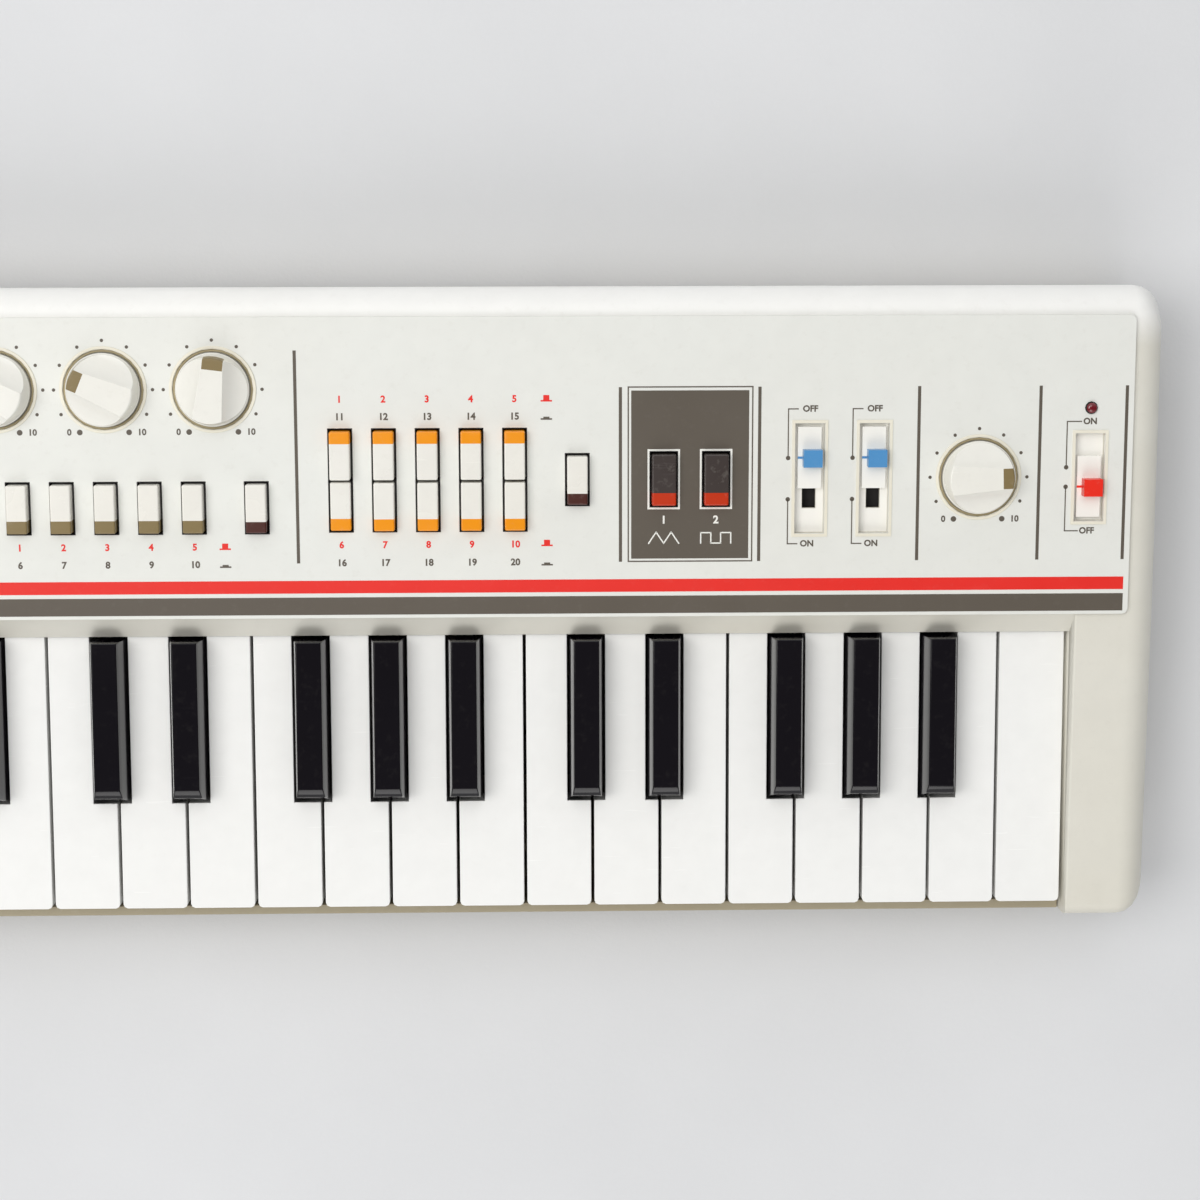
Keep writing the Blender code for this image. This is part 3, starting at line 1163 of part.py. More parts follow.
def build():
    for old in list(bpy.data.objects):
        bpy.data.objects.remove(old, do_unlink=True)
    panel = bpy.data.objects.new("panel_frame", None)
    bpy.context.scene.collection.objects.link(panel)
    panel.location = world(0, PANEL_BACK, KEY_TOP_HEIGHT + PANEL_RISE)
    panel.rotation_euler.x = PANEL_SLOPE
    cream = material("cream_case_plastic", (0.80, 0.78, 0.72), 0.45)
    plate = material("pale_plate_plastic", (0.83, 0.83, 0.79), 0.4)
    ivory = material("white_key_plastic", (0.87, 0.87, 0.86), 0.25)
    ebony = material("black_key_plastic", (0.012, 0.010, 0.014), 0.2)
    control = material("control_plastic", (0.82, 0.80, 0.75), 0.4)
    dark = material("dark_button_plastic", (0.07, 0.055, 0.05), 0.35)
    laminate = material("board_laminate", (0.22, 0.14, 0.05), 0.6)
    rubber = material("contact_rubber", (0.10, 0.10, 0.10), 0.8)
    metal = material("speaker_steel", (0.35, 0.35, 0.36), 0.4, 0.9)
    build_top_case(panel, cream)
    build_plate(panel, plate)
    build_bottom_case(cream)
    build_battery_cover(cream)
    build_combs(ivory, ebony)
    build_separate_keys(ivory, ebony)
    build_contact_board(rubber)
    build_main_board(panel, laminate)
    build_speaker(panel, metal)
    build_buttons(panel, control, dark)
    build_sliders(panel, control)
    build_knobs(panel, control)


build()
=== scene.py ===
# %% [markdown]
# # A portable keyboard with mini keys
# This notebook dresses a keyboard that an engineer has already laid out: the frame gives every moulding,
# key and knob at its real place. Here the mouldings get their soft edges, the plastics get their finish,
# and everything that is printed, moulded small or screwed on is added.

# %% Load the engineer's frame
import json
import math

import bmesh
import bpy
from mathutils import Matrix, Vector


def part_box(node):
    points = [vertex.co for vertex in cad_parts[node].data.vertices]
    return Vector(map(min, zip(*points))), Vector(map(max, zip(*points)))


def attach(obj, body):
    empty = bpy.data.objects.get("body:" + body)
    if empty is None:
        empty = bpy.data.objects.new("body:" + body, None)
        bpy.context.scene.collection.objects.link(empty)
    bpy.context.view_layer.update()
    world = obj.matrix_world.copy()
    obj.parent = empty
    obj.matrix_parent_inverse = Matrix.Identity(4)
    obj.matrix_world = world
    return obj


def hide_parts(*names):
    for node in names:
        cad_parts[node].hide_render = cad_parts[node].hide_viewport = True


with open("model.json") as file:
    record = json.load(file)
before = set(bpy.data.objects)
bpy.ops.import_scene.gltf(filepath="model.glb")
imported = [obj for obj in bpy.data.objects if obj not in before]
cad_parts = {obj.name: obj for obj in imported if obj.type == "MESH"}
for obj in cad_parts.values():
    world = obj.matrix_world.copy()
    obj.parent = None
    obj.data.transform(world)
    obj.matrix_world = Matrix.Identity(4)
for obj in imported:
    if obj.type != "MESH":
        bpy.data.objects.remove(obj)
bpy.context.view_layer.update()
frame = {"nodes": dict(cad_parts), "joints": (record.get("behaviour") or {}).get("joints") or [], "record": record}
scene = bpy.context.scene
MM = 0.001

# %% [markdown]
# ## Places on the control panel
# The control panel slopes two degrees up towards the back. It is simplest to speak of a place on it as a
# drawing office would: across, up the slope, and out from the face, all in millimetres. One matrix then
# turns such a place into metres in the room, and every print and bezel is drawn flat and laid on the
# panel with it.

# %% The panel's own sheet of drawing paper
PANEL_SLOPE = math.radians(2.0)
PANEL_EDGE = Vector((0.0, -1.5, 47.0))
PANEL = (
    Matrix.Scale(MM, 4)
    @ Matrix.Translation(PANEL_EDGE)
    @ Matrix.Rotation(PANEL_SLOPE, 4, "X")
)
PANEL_OUT = (PANEL.to_3x3() @ Vector((0, 0, 1))).normalized()
PANEL_UP = (PANEL.to_3x3() @ Vector((0, 1, 0))).normalized()
PLATE_HALF = 281.4
PLATE_LENGTH = 79.8


def on_panel(across, up_slope, out=0.0):
    """A place on the panel, in metres in the room."""
    return PANEL @ Vector((across, up_slope, out))


def shown_outline(node):
    """Left, low, right and high edge of what a node shows above the sheet."""
    to_sheet = PANEL.inverted()
    places = [to_sheet @ vertex.co for vertex in frame["nodes"][node].data.vertices]
    shown = [place for place in places if place.z > 0]
    across = [place.x for place in shown]
    up_slope = [place.y for place in shown]
    return min(across), min(up_slope), max(across), max(up_slope)


def panel_spot(node):
    """Where the middle of what a node shows lies on the sheet: across and up the slope."""
    left, low, right, high = shown_outline(node)
    return (left + right) / 2, (low + high) / 2


def joint_of(node):
    """The joint that moves a node."""
    return next(joint for joint in frame["joints"] if joint["child"] == node)


def half_travel(node):
    """From a slide switch's place at rest to the middle of its travel, up the slope."""
    joint = joint_of(node)
    direction = 1 if joint["axis"][1] > 0 else -1
    return direction * sum(joint["range_m"]) / 2 / MM


def knob_spot(node):
    """A knob's axis on the sheet, and its pointer's angle at rest, read off its joint's range."""
    joint = joint_of(node)
    axis = PANEL.inverted() @ Vector(joint["pos_m"])
    low, high = joint["range_deg"]
    return axis.x, axis.y, -(low + high) / 2


print("panel's rear edge lies at", round(on_panel(0, PLATE_LENGTH).z / MM, 1), "mm")

# %% [markdown]
# ## How moulded plastic looks
# Injection-moulded plastic is never one flat colour. Light mottling comes from the resin, a fine grain
# comes from the spark-eroded mould, and hands polish the parts that are touched. Several plastics share
# these effects, so each effect is a node group, built once, and each material sets its own amounts.

# %% Helpers for nodes and groups of nodes
COLOUR, NUMBER, WHOLE, SHAPE = (f"NodeSocket{kind}" for kind in ("Color", "Float", "Int", "Geometry"))
SOCKET_FOR = {tuple: COLOUR, float: NUMBER, int: WHOLE, type(None): SHAPE}


def new_group(name, inputs, outputs, kind="ShaderNodeTree"):
    """An empty group with named sockets: its tree, what it is given, and the node that ends it."""
    tree = bpy.data.node_groups.new(name, kind)
    for label, value in inputs.items():
        socket = tree.interface.new_socket(label, in_out="INPUT", socket_type=SOCKET_FOR[type(value)])
        if value is not None:
            socket.default_value = value
    for label, socket_type in outputs.items():
        tree.interface.new_socket(label, in_out="OUTPUT", socket_type=socket_type)
    return tree, tree.nodes.new("NodeGroupInput").outputs, tree.nodes.new("NodeGroupOutput")


def feed(tree, node, values):
    """Links each input that is named to a socket, or sets it to a plain value."""
    for label, value in values.items():
        if isinstance(value, bpy.types.NodeSocket):
            tree.links.new(value, node.inputs[label])
        else:
            node.inputs[label].default_value = value
    return node


def add_node(tree, kind, values):
    """A new node with its inputs fed."""
    return feed(tree, tree.nodes.new(kind), values)


def noise(tree, place, scale, detail=3.0, roughness=0.55):
    """Noise over a place, at so many waves a metre."""
    values = {"Vector": place, "Scale": scale, "Detail": detail, "Roughness": roughness}
    return add_node(tree, "ShaderNodeTexNoise", values).outputs["Fac"]


def spread(tree, value, low, high, to_low, to_high):
    """Maps a value from one range to another, and holds it there."""
    values = {"Value": value, "From Min": low, "From Max": high, "To Min": to_low, "To Max": to_high}
    return add_node(tree, "ShaderNodeMapRange", values).outputs["Result"]


# The Mix node has sockets for every kind of value, and these are the ones for colours.
MIX_SHARE, MIX_FIRST, MIX_SECOND, MIX_RESULT = 0, 6, 7, 2


def mix_colour(tree, share, first, second, blend="MIX"):
    """Two colours mixed by a share."""
    node = tree.nodes.new("ShaderNodeMix")
    node.data_type = "RGBA"
    node.blend_type = blend
    feed(tree, node, {MIX_SHARE: share, MIX_FIRST: first, MIX_SECOND: second})
    return node.outputs[MIX_RESULT]


def calculate(tree, first, second, operation="ADD"):
    """The sum of two values, or what another operation makes of them."""
    node = add_node(tree, "ShaderNodeMath", {0: first, 1: second})
    node.operation = operation
    return node.outputs[0]


# %% Group one: the skin that a mould leaves, and a painted highlight at the back
# Painted highlight: towards the back, a part's colour is mixed towards near white, for the light on the rear band.
REAR_HIGHLIGHT_FROM, REAR_HIGHLIGHT_BY = 0.070, 0.079
REAR_HIGHLIGHT_COLOUR = (0.97, 0.97, 0.96, 1.0)


def build_moulded_skin():
    """Mottled colour, paler towards the back as a painted highlight, uneven gloss and a fine grain."""
    inputs = {
        "Colour": (0.8, 0.8, 0.8, 1), "Aged Colour": (0.7, 0.65, 0.5, 1), "Ageing": 0.2, "Gloss Low": 0.3,
        "Gloss High": 0.45, "Grain Scale": 2500.0, "Rear Highlight": 0.0,
    }
    outputs = {"Colour": COLOUR, "Roughness": NUMBER, "Height": NUMBER}
    tree, given, end = new_group("moulded_skin_and_rear_highlight", inputs, outputs)
    place = tree.nodes.new("ShaderNodeTexCoord").outputs["Object"]
    cloud = noise(tree, place, 9.0, 4.0)
    fleck = noise(tree, place, 160.0, 2.0)
    share = spread(tree, cloud, 0.35, 0.75, 0.0, given["Ageing"])
    aged = mix_colour(tree, share, given["Colour"], given["Aged Colour"])
    along = add_node(tree, "ShaderNodeSeparateXYZ", {"Vector": place}).outputs["Y"]
    # Painted highlight: the colour grows paler towards the back, by the amount that the material asks for.
    rear_highlight_share = spread(tree, along, REAR_HIGHLIGHT_FROM, REAR_HIGHLIGHT_BY, 0.0, given["Rear Highlight"])
    aged = mix_colour(tree, rear_highlight_share, aged, REAR_HIGHLIGHT_COLOUR)
    tone = spread(tree, fleck, 0.3, 0.7, 0.975, 1.0)
    tone_colour = add_node(tree, "ShaderNodeCombineColor", {"Red": tone, "Green": tone, "Blue": tone})
    flecked = mix_colour(tree, 1.0, aged, tone_colour.outputs[0], "MULTIPLY")
    rough = spread(tree, noise(tree, place, 45.0), 0.3, 0.7, given["Gloss Low"], given["Gloss High"])
    grain = noise(tree, place, given["Grain Scale"], 2.0)
    feed(tree, end, {"Colour": flecked, "Roughness": rough, "Height": grain})
    return tree


SKIN_AND_REAR_HIGHLIGHT = build_moulded_skin()


# %% Group two: fine scuffs and dust
def build_scuffs():
    """A mask of hairline scuffs, and dust that lies on faces that look up."""
    inputs = {
        "Colour": (0.8, 0.8, 0.8, 1), "Dust": 0.1, "Dust Colour": (0.55, 0.52, 0.46, 1), "Roughness": 0.4,
    }
    tree, given, end = new_group("scuffs_and_dust", inputs, {"Colour": COLOUR, "Roughness": NUMBER})
    place = tree.nodes.new("ShaderNodeTexCoord").outputs["Object"]
    stretched = {"Vector": place, "Scale": (60.0, 900.0, 400.0), "Rotation": (0.1, 0.2, 0.5)}
    stretch = add_node(tree, "ShaderNodeMapping", stretched).outputs[0]
    hair = spread(tree, noise(tree, stretch, 1.0, 2.0), 0.68, 0.74, 0.0, 1.0)
    normal = tree.nodes.new("ShaderNodeNewGeometry").outputs["Normal"]
    upward = add_node(tree, "ShaderNodeSeparateXYZ", {"Vector": normal}).outputs["Z"]
    lying = spread(tree, upward, 0.5, 1.0, 0.0, 1.0)
    speck = spread(tree, noise(tree, place, 420.0, 4.0, 0.7), 0.56, 0.72, 0.0, given["Dust"])
    dust = calculate(tree, lying, speck, "MULTIPLY")
    dusty = mix_colour(tree, dust, given["Colour"], given["Dust Colour"])
    scuffed = calculate(tree, given["Roughness"], calculate(tree, hair, 0.10, "MULTIPLY"))
    rough = calculate(tree, scuffed, calculate(tree, dust, 0.3, "MULTIPLY"))
    feed(tree, end, {"Colour": dusty, "Roughness": rough})
    return tree


SCUFFS = build_scuffs()
print("shader groups:", SKIN_AND_REAR_HIGHLIGHT.name, SCUFFS.name)


# %% A plastic from the two groups
def linear(red, green, blue):
    """A colour given as a paint chart gives it, 0 to 255, as the renderer wants it."""
    channels = []
    for value in (red, green, blue):
        share = value / 255
        channels.append(share / 12.92 if share <= 0.04045 else ((share + 0.055) / 1.055) ** 2.4)
    return (*channels, 1.0)


def plastic(
    name, colour, aged, gloss=(0.30, 0.42), ageing=0.25, grain=2500.0, depth=0.00002, dust=0.10, coat=0.0,
    metallic=0.0, specular=0.5, rear_highlight=0.0,
):
    """A moulded plastic: its colours from a paint chart, its gloss range and the grain of its mould."""
    made = bpy.data.materials.new(name)
    made.use_nodes = True
    made.diffuse_color = linear(*colour)
    tree = made.node_tree
    skin = tree.nodes.new("ShaderNodeGroup")
    skin.node_tree = SKIN_AND_REAR_HIGHLIGHT
    worn = tree.nodes.new("ShaderNodeGroup")
    worn.node_tree = SCUFFS
    feed(tree, skin, {
        "Colour": linear(*colour), "Aged Colour": linear(*aged), "Ageing": ageing,
        "Gloss Low": gloss[0], "Gloss High": gloss[1], "Grain Scale": grain, "Rear Highlight": rear_highlight,
    })
    worn_values = {"Colour": skin.outputs["Colour"], "Roughness": skin.outputs["Roughness"], "Dust": dust}
    feed(tree, worn, worn_values)
    height = {"Strength": 0.5, "Distance": depth, "Height": skin.outputs["Height"]}
    feed(tree, tree.nodes["Principled BSDF"], {
        "Base Color": worn.outputs["Colour"], "Roughness": worn.outputs["Roughness"],
        "Normal": add_node(tree, "ShaderNodeBump", height).outputs["Normal"],
        "Metallic": metallic, "Specular IOR Level": specular, "Coat Weight": coat, "Coat Roughness": 0.08,
    })
    return made


# %% [markdown]
# ## The finishes of this keyboard
# The case is warm white ABS that has yellowed a little, and its rear band is painted paler as a painted
# highlight. The face plate is cooler and smoother, the white keys are bright and glossy, and the black keys
# are nearly mirror-smooth. The tray's darker beige is partly painted shade. Inks are thin and flat, so they
# take the same groups with no grain to speak of.

# %% Name every finish once
# The case's rear band is painted paler, a painted highlight for the light that falls on it.
CASE = plastic(
    "case_abs", (224, 222, 213), (216, 210, 192), (0.38, 0.50), 0.45, 1800.0, 0.00004, rear_highlight=0.75
)
# The tray's darker beige is partly its own colour and partly painted shade, for the shade under the keys' front
# edge.
TRAY = plastic("tray_abs_part_painted_shade", (166, 156, 132), (156, 144, 118), (0.42, 0.54), 0.4, 1800.0, 0.00004)
PLATE = plastic("face_plate", (231, 232, 227), (227, 225, 216), (0.30, 0.40), 0.35, 2600.0, 0.000015)
RIM = plastic("moulded_rim", (238, 234, 219), (230, 222, 200), (0.28, 0.38), 0.5)
IVORY = plastic(
    "white_key_gloss", (247, 247, 245), (243, 242, 237), (0.16, 0.24), 0.2, 3000.0, 0.000006, 0.03, 0.2
)
EBONY = plastic(
    "black_key_gloss", (12, 9, 15), (18, 14, 20), (0.08, 0.14), 0.5, 3000.0, 0.000004, 0.01,
    specular=0.42,
)
# Near-white of painted light: slide switch shutters and recess floors, painted paler against their shade.
PAINTED_LIGHT_WHITE = plastic("painted_light_white", (250, 248, 242), (244, 241, 232), (0.12, 0.2), 0.3, dust=0.02)
CAP = plastic("control_cap", (236, 234, 227), (228, 222, 206), (0.22, 0.32), 0.35)
KNOB = plastic(
    "knob_cap", (241, 240, 234), (234, 230, 216), (0.14, 0.22), 0.4, 3000.0, 0.000008, coat=0.25
)
DARK_CAP = plastic("dark_cap", (62, 54, 52), (72, 64, 60), (0.22, 0.32), 0.4)
ORANGE = plastic("orange_end", (242, 150, 0), (234, 142, 6), (0.28, 0.36), 0.3)
KHAKI = plastic("khaki_mark", (132, 114, 74), (124, 108, 72), (0.30, 0.40), 0.3)
BROWN = plastic("brown_end", (70, 26, 16), (76, 32, 22), (0.28, 0.38), 0.3)
EMBER = plastic("ember_end", (194, 48, 0), (184, 46, 8), (0.28, 0.38), 0.3)
BLUE = plastic("blue_slide", (78, 144, 200), (86, 146, 192), (0.28, 0.38), 0.3)
RED = plastic("red_slide", (238, 42, 24), (226, 46, 30), (0.28, 0.38), 0.3)
# Black of painted shade for the button windows and the switch bodies seen in slots; it also colours what hangs
# below the board.
SHADOW = plastic("painted_shade_black", (22, 18, 18), (28, 24, 22), (0.6, 0.75), 0.4, dust=0.0)
# Tan of painted shade, for the shaded gap round each knob.
WELL_SHADE_TAN = plastic("painted_well_shade", (176, 162, 128), (164, 150, 118), (0.5, 0.6), 0.4, dust=0.0)
RUBBER = plastic("foot_rubber", (58, 57, 56), (74, 72, 68), (0.7, 0.85), 0.4, 900.0, 0.0001, 0.35)
LAMINATE = plastic("board_laminate", (140, 100, 54), (120, 88, 50), (0.4, 0.55), 0.5, 700.0)
STEEL = plastic(
    "plated_steel", (176, 176, 178), (150, 148, 144), (0.22, 0.38), 0.4, 1400.0, 0.00001, 0.05, 0.0, 1.0
)
CONE = plastic("paper_cone", (44, 43, 44), (58, 56, 54), (0.75, 0.9), 0.5, 700.0, 0.0001, 0.2)
LENS = plastic("lamp_lens", (112, 12, 26), (96, 12, 24), (0.06, 0.1), 0.3, 3000.0, 0.000004, 0.0, 0.6)
INK_RED = plastic("red_ink", (232, 34, 22), (226, 38, 28), (0.40, 0.50), 0.3, 2600.0, 0.00001, 0.02)
INK_GREY = plastic("grey_ink", (90, 82, 72), (96, 88, 77), (0.40, 0.50), 0.3, 2600.0, 0.00001, 0.02)
INK_WHITE = plastic("white_ink", (242, 242, 236), (236, 234, 224), (0.34, 0.44), 0.3, 2600.0, 0.00001)
print("finishes:", len(bpy.data.materials))

# %% [markdown]
# ## From a machined solid to a moulding
# The frame's solids have knife edges, and no moulding does: a sharp edge in a tool chips, and it hurts the
# hand. Each node is copied, its triangles are merged back into whole faces, and its outer edges are
# rounded by a few tenths of a millimetre, which is what catches the light. The copy then stands for the
# node. Where one moulding carries two colours, the copy is cut along a plane and the far side takes
# the second finish, so the colour's border is crisp geometry.

# %% Copy, round and colour one node
FLAT = math.radians(0.6)
CREASE = math.radians(38)


def merged_copy(node):
    """The node's mesh with whole faces instead of loose triangles."""
    mesh = bmesh.new()
    mesh.from_mesh(frame["nodes"][node].data)
    bmesh.ops.remove_doubles(mesh, verts=mesh.verts, dist=0.002 * MM)
    bmesh.ops.dissolve_limit(mesh, angle_limit=FLAT, verts=mesh.verts, edges=mesh.edges)
    return mesh


def round_edges(mesh, width, segments=2, wanted=None, scale=MM):
    """Rounds the convex edges that are sharp enough to feel."""
    edges = []
    for edge in mesh.edges:
        if len(edge.link_faces) != 2 or not edge.is_convex or edge.calc_face_angle() < CREASE:
            continue
        if wanted is None or wanted((edge.verts[0].co + edge.verts[1].co) / 2):
            edges.append(edge)
    bmesh.ops.bevel(
        mesh, geom=edges, offset=width * scale, offset_type="OFFSET", segments=segments, profile=0.5,
        affect="EDGES", clamp_overlap=True,
    )


def cut_along(mesh, point, normal):
    """Gives a mesh new edges where a plane meets it."""
    geom = list(mesh.verts) + list(mesh.edges) + list(mesh.faces)
    bmesh.ops.bisect_plane(mesh, geom=geom, dist=0.0005 * MM, plane_co=point, plane_no=normal)


def placed(name, data):
    """A mesh, a text, a lamp or a camera as an object of the scene."""
    made = bpy.data.objects.new(name, data)
    scene.collection.objects.link(made)
    return made


def loose_object(name, mesh):
    """A mesh as a plain object, to be cut or finished."""
    data = bpy.data.meshes.new(name)
    mesh.to_mesh(data)
    mesh.free()
    return placed(name, data)


def settle(piece, body):
    """Smooths a piece between its creases, and lets it ride on a body."""
    piece.data.shade_smooth()
    piece.data.set_sharp_from_angle(angle=CREASE)
    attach(piece, body)


def finish_piece(name, mesh, materials, body, replaces=()):
    """A mesh as a named piece that rides on a body."""
    piece = loose_object(name, mesh)
    for material in materials:
        piece.data.materials.append(material)
    even = piece.modifiers.new("even_shading", "WEIGHTED_NORMAL")
    even.keep_sharp = True
    settle(piece, body)
    if replaces:
        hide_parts(*replaces)
    return piece


def body_of(node):
    """The body that a node rides on."""
    return node if node in frame["record"]["behaviour"]["bodies"] else "case"


def mould(node, width, materials, cuts=(), choose=None, segments=2, wanted=None):
    """Stands for a node: rounded, cut along planes, and coloured face by face."""
    mesh = merged_copy(node)
    round_edges(mesh, width, segments, wanted)
    for point, normal in cuts:
        cut_along(mesh, point, normal)
    if choose:
        for face in mesh.faces:
            face.material_index = choose(face.calc_center_median())
    return finish_piece(f"{node}_moulding", mesh, materials, body_of(node), (node,))


# %% [markdown]
# ## The case
# Two shells meet along a seam. The upper one is the cheeks, the fascia behind the keys and the rear wall;
# the lower one is the tray. Only edges that show are rounded: rounding the dozens of windows under the
# face plate would cost faces that nobody sees.

# %% The shells and the battery cover
KEY_TOP = 38.0
PLATE_FRONT, PLATE_BACK, PLATE_UNDERSIDE = -1.0, 78.8, 30.0
TRAY_HALF_WIDTH, TRAY_HALF_DEPTH, TRAY_UNDERSIDE = 287.0, 84.0, 3.0
CHEEK_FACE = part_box("white_key_c6")[1].x / MM + 1.2
CHEEK_BACK, CHEEK_LOW = -8, KEY_TOP + 2
FOOT_DEPTH = 1.95


def along_cheek(place):
    """Whether an edge is the long one between a cheek's top and the space that the keys play in."""
    at_cheek = abs(abs(place.x) / MM - CHEEK_FACE) < 0.3
    return at_cheek and place.y < CHEEK_BACK * MM and place.z > CHEEK_LOW * MM


def shows_on_top(place):
    """Whether an edge of the upper shell can be seen once the face plate is on."""
    x, y = abs(place.x) / MM, place.y / MM
    within = x < PLATE_HALF + 0.5 and PLATE_FRONT < y < PLATE_BACK
    return not (within and place.z > PLATE_UNDERSIDE * MM)


def shows_below(place):
    """Whether an edge of the tray can be seen from below or from the sides."""
    outside = abs(place.x) > TRAY_HALF_WIDTH * MM or abs(place.y) > TRAY_HALF_DEPTH * MM
    return outside or place.z < TRAY_UNDERSIDE * MM


def mould_upper_shell():
    """The upper shell, with a softer edge along its cheeks than elsewhere."""
    mesh = merged_copy("top_case")
    round_edges(mesh, 2.0, 4, along_cheek)
    round_edges(mesh, 0.7, 3, shows_on_top)
    finish_piece("top_case_moulding", mesh, [CASE], "case", ("top_case",))


mould_upper_shell()
mould(
    "bottom_case", 0.5, [TRAY, RUBBER], cuts=[(Vector((0, 0, FOOT_DEPTH * MM)), Vector((0, 0, 1)))],
    choose=lambda c: 1 if c.z < FOOT_DEPTH * MM else 0, wanted=shows_below,
)
mould("battery_cover", 0.35, [TRAY])
mould("panel_plate", 0.3, [PLATE])
print("case shells rounded")

# %% [markdown]
# ## The keys
# A white key is a thin-walled box with softly rounded top edges. The black keys taper towards a narrow top
# and end in a sloping nose. The bass half's keys are moulded on two combs, which get the same edges.

# %% Round every key
WHITE_EDGES_FROM, BLACK_EDGES_FROM = KEY_TOP - 12, KEY_TOP + 2
whites = sorted(node for node in frame["nodes"] if node.startswith("white_key"))
blacks = sorted(node for node in frame["nodes"] if node.startswith("black_key"))
for node in whites:
    mould(node, 0.45, [IVORY], segments=3, wanted=lambda place: place.z > WHITE_EDGES_FROM * MM)
for node in blacks:
    mould(node, 0.28, [EBONY], segments=3, wanted=lambda place: place.z > BLACK_EDGES_FROM * MM)
print("keys:", len(whites), "white and", len(blacks), "black pieces")

# %% [markdown]
# ## Push buttons
# Each push button is a cream cap with a coloured end that tells which row of voices or rhythms it
# belongs to. The colour wraps over the end of the cap.

# %% Buttons with coloured ends
TONE_END, RHYTHM_END, SELECT_END, MODULATION_END = 3.2, 3.4, 3.0, 3.4


def button(node, end, colour, stripe, base=CAP):
    """A push button whose front end (-1) or back end (+1) is coloured."""
    left, low, right, high = shown_outline(node)
    border = high - stripe if end > 0 else low + stripe

    def finish_of(centre):
        """The cap's own finish, or the colour past the border."""
        place = PANEL.inverted() @ centre
        return 1 if (place.y - border) * end > 0 else 0

    mould(node, 0.4, [base, colour], cuts=[(on_panel(left, border), PANEL_UP)], choose=finish_of, segments=3)


COLUMNS = range(1, 6)
for column in COLUMNS:
    button(f"tone_button_upper_{column}", 1, ORANGE, TONE_END)
    button(f"tone_button_lower_{column}", -1, ORANGE, TONE_END)
    button(f"rhythm_button_{column}", -1, KHAKI, RHYTHM_END)
SELECTORS = ("tone_select_button", "rhythm_select_button")
for node in SELECTORS:
    button(node, -1, BROWN, SELECT_END)
MODULATORS = ("modulation_button_1", "modulation_button_2")
for node in MODULATORS:
    button(node, -1, EMBER, MODULATION_END, DARK_CAP)
print("buttons:", 3 * len(COLUMNS) + 4)

# %% [markdown]
# ## Slide switches
# A slide switch shows a cream shutter with a small coloured grip, and a thin line from the grip to the
# shutter's edge points at the chosen setting. The grip is cut out of the shutter's own surface; the line is a
# thin bar laid on it.

# %% Slide switches with coloured grips
SLIDER_COLOURS = {"vibrato_slider": BLUE, "sustain_slider": BLUE, "power_slider": RED}
SHUTTER_TOP = -0.8
GRIP_TO_POINTER = 3.0
POINTER_SIZE = (1.5, 0.6, 0.1)
GRIP_BASE = SHUTTER_TOP + 0.08
for node, colour in SLIDER_COLOURS.items():
    across, up_slope = panel_spot(node)
    # The shutter takes the near-white of painted light, paler than the caps, against the shade of its recess.
    mould(
        node, 0.25, [PAINTED_LIGHT_WHITE, colour], cuts=[(on_panel(across, up_slope, GRIP_BASE), PANEL_OUT)],
        choose=lambda c: 1 if (PANEL.inverted() @ c).z > GRIP_BASE else 0,
    )
    pointer = bmesh.new()
    middle = Vector((across - GRIP_TO_POINTER, up_slope, SHUTTER_TOP + 0.02))
    place = PANEL @ Matrix.LocRotScale(middle, None, Vector(POINTER_SIZE))
    bmesh.ops.create_cube(pointer, size=1.0, matrix=place)
    finish_piece(f"{node}_pointer", pointer, [colour], node)
print("switches:", len(SLIDER_COLOURS))

# %% [markdown]
# ## Knobs
# A knob is a drum on a flat skirt, with two long scoops that leave a bar to grip. The drum narrows towards
# its top, and the bar is wider at its tail than at its pointer, so the scoops aren't quite parallel. The
# drum is turned from a profile, two cylinders cut the scoops, and the bar's edges are rounded. A khaki
# mark covers the pointer's end.

# %% Turn a drum and scoop it
KNOBS = ("tempo_knob", "accompaniment_volume_knob", "rhythm_volume_knob", "main_volume_knob")
KNOB_PLACES = {node: knob_spot(node) for node in KNOBS}
HUB_RADIUS = 4.5
HUB_FOOT = -4.5
SKIRT_FOOT = -0.9
SKIRT_CHAMFER = 0.3
KNOB_RADIUS = 9.7
KNOB_SKIRT = 1.5
KNOB_TOP = 6.6
TOP_RADIUS = 8.6
TOP_ROUND = 0.5
ROUND_STEPS = 4
BAR_AT_POINTER = 2.5
BAR_AT_TAIL = 4.0
SCOOP_RADIUS = 12.0
SCOOP_FLOOR = 1.2
MARK_LENGTH = 3.1


def drum(mesh, profile, sides=64):
    """A turned shape from a profile of radius and height, closed at both ends."""
    rings = []
    for radius, height in profile:
        ring = []
        for step in range(sides):
            angle = 2 * math.pi * step / sides
            ring.append(mesh.verts.new((radius * math.cos(angle), radius * math.sin(angle), height)))
        rings.append(ring)
    for lower, upper in zip(rings, rings[1:]):
        for step in range(sides):
            after = (step + 1) % sides
            mesh.faces.new((lower[step], lower[after], upper[after], upper[step]))
    mesh.faces.new(list(reversed(rings[0])))
    mesh.faces.new(rings[-1])


def carve(target, cutters):
    """Cuts shapes out of a loose object and gives back its mesh."""
    for cutter in cutters:
        change = target.modifiers.new("cut", "BOOLEAN")
        change.operation = "DIFFERENCE"
        change.object = cutter
    carved = bpy.data.meshes.new_from_object(target.evaluated_get(bpy.context.evaluated_depsgraph_get()))
    mesh = bmesh.new()
    mesh.from_mesh(carved)
    for old in [target, *cutters]:
        bpy.data.objects.remove(old)
    return mesh


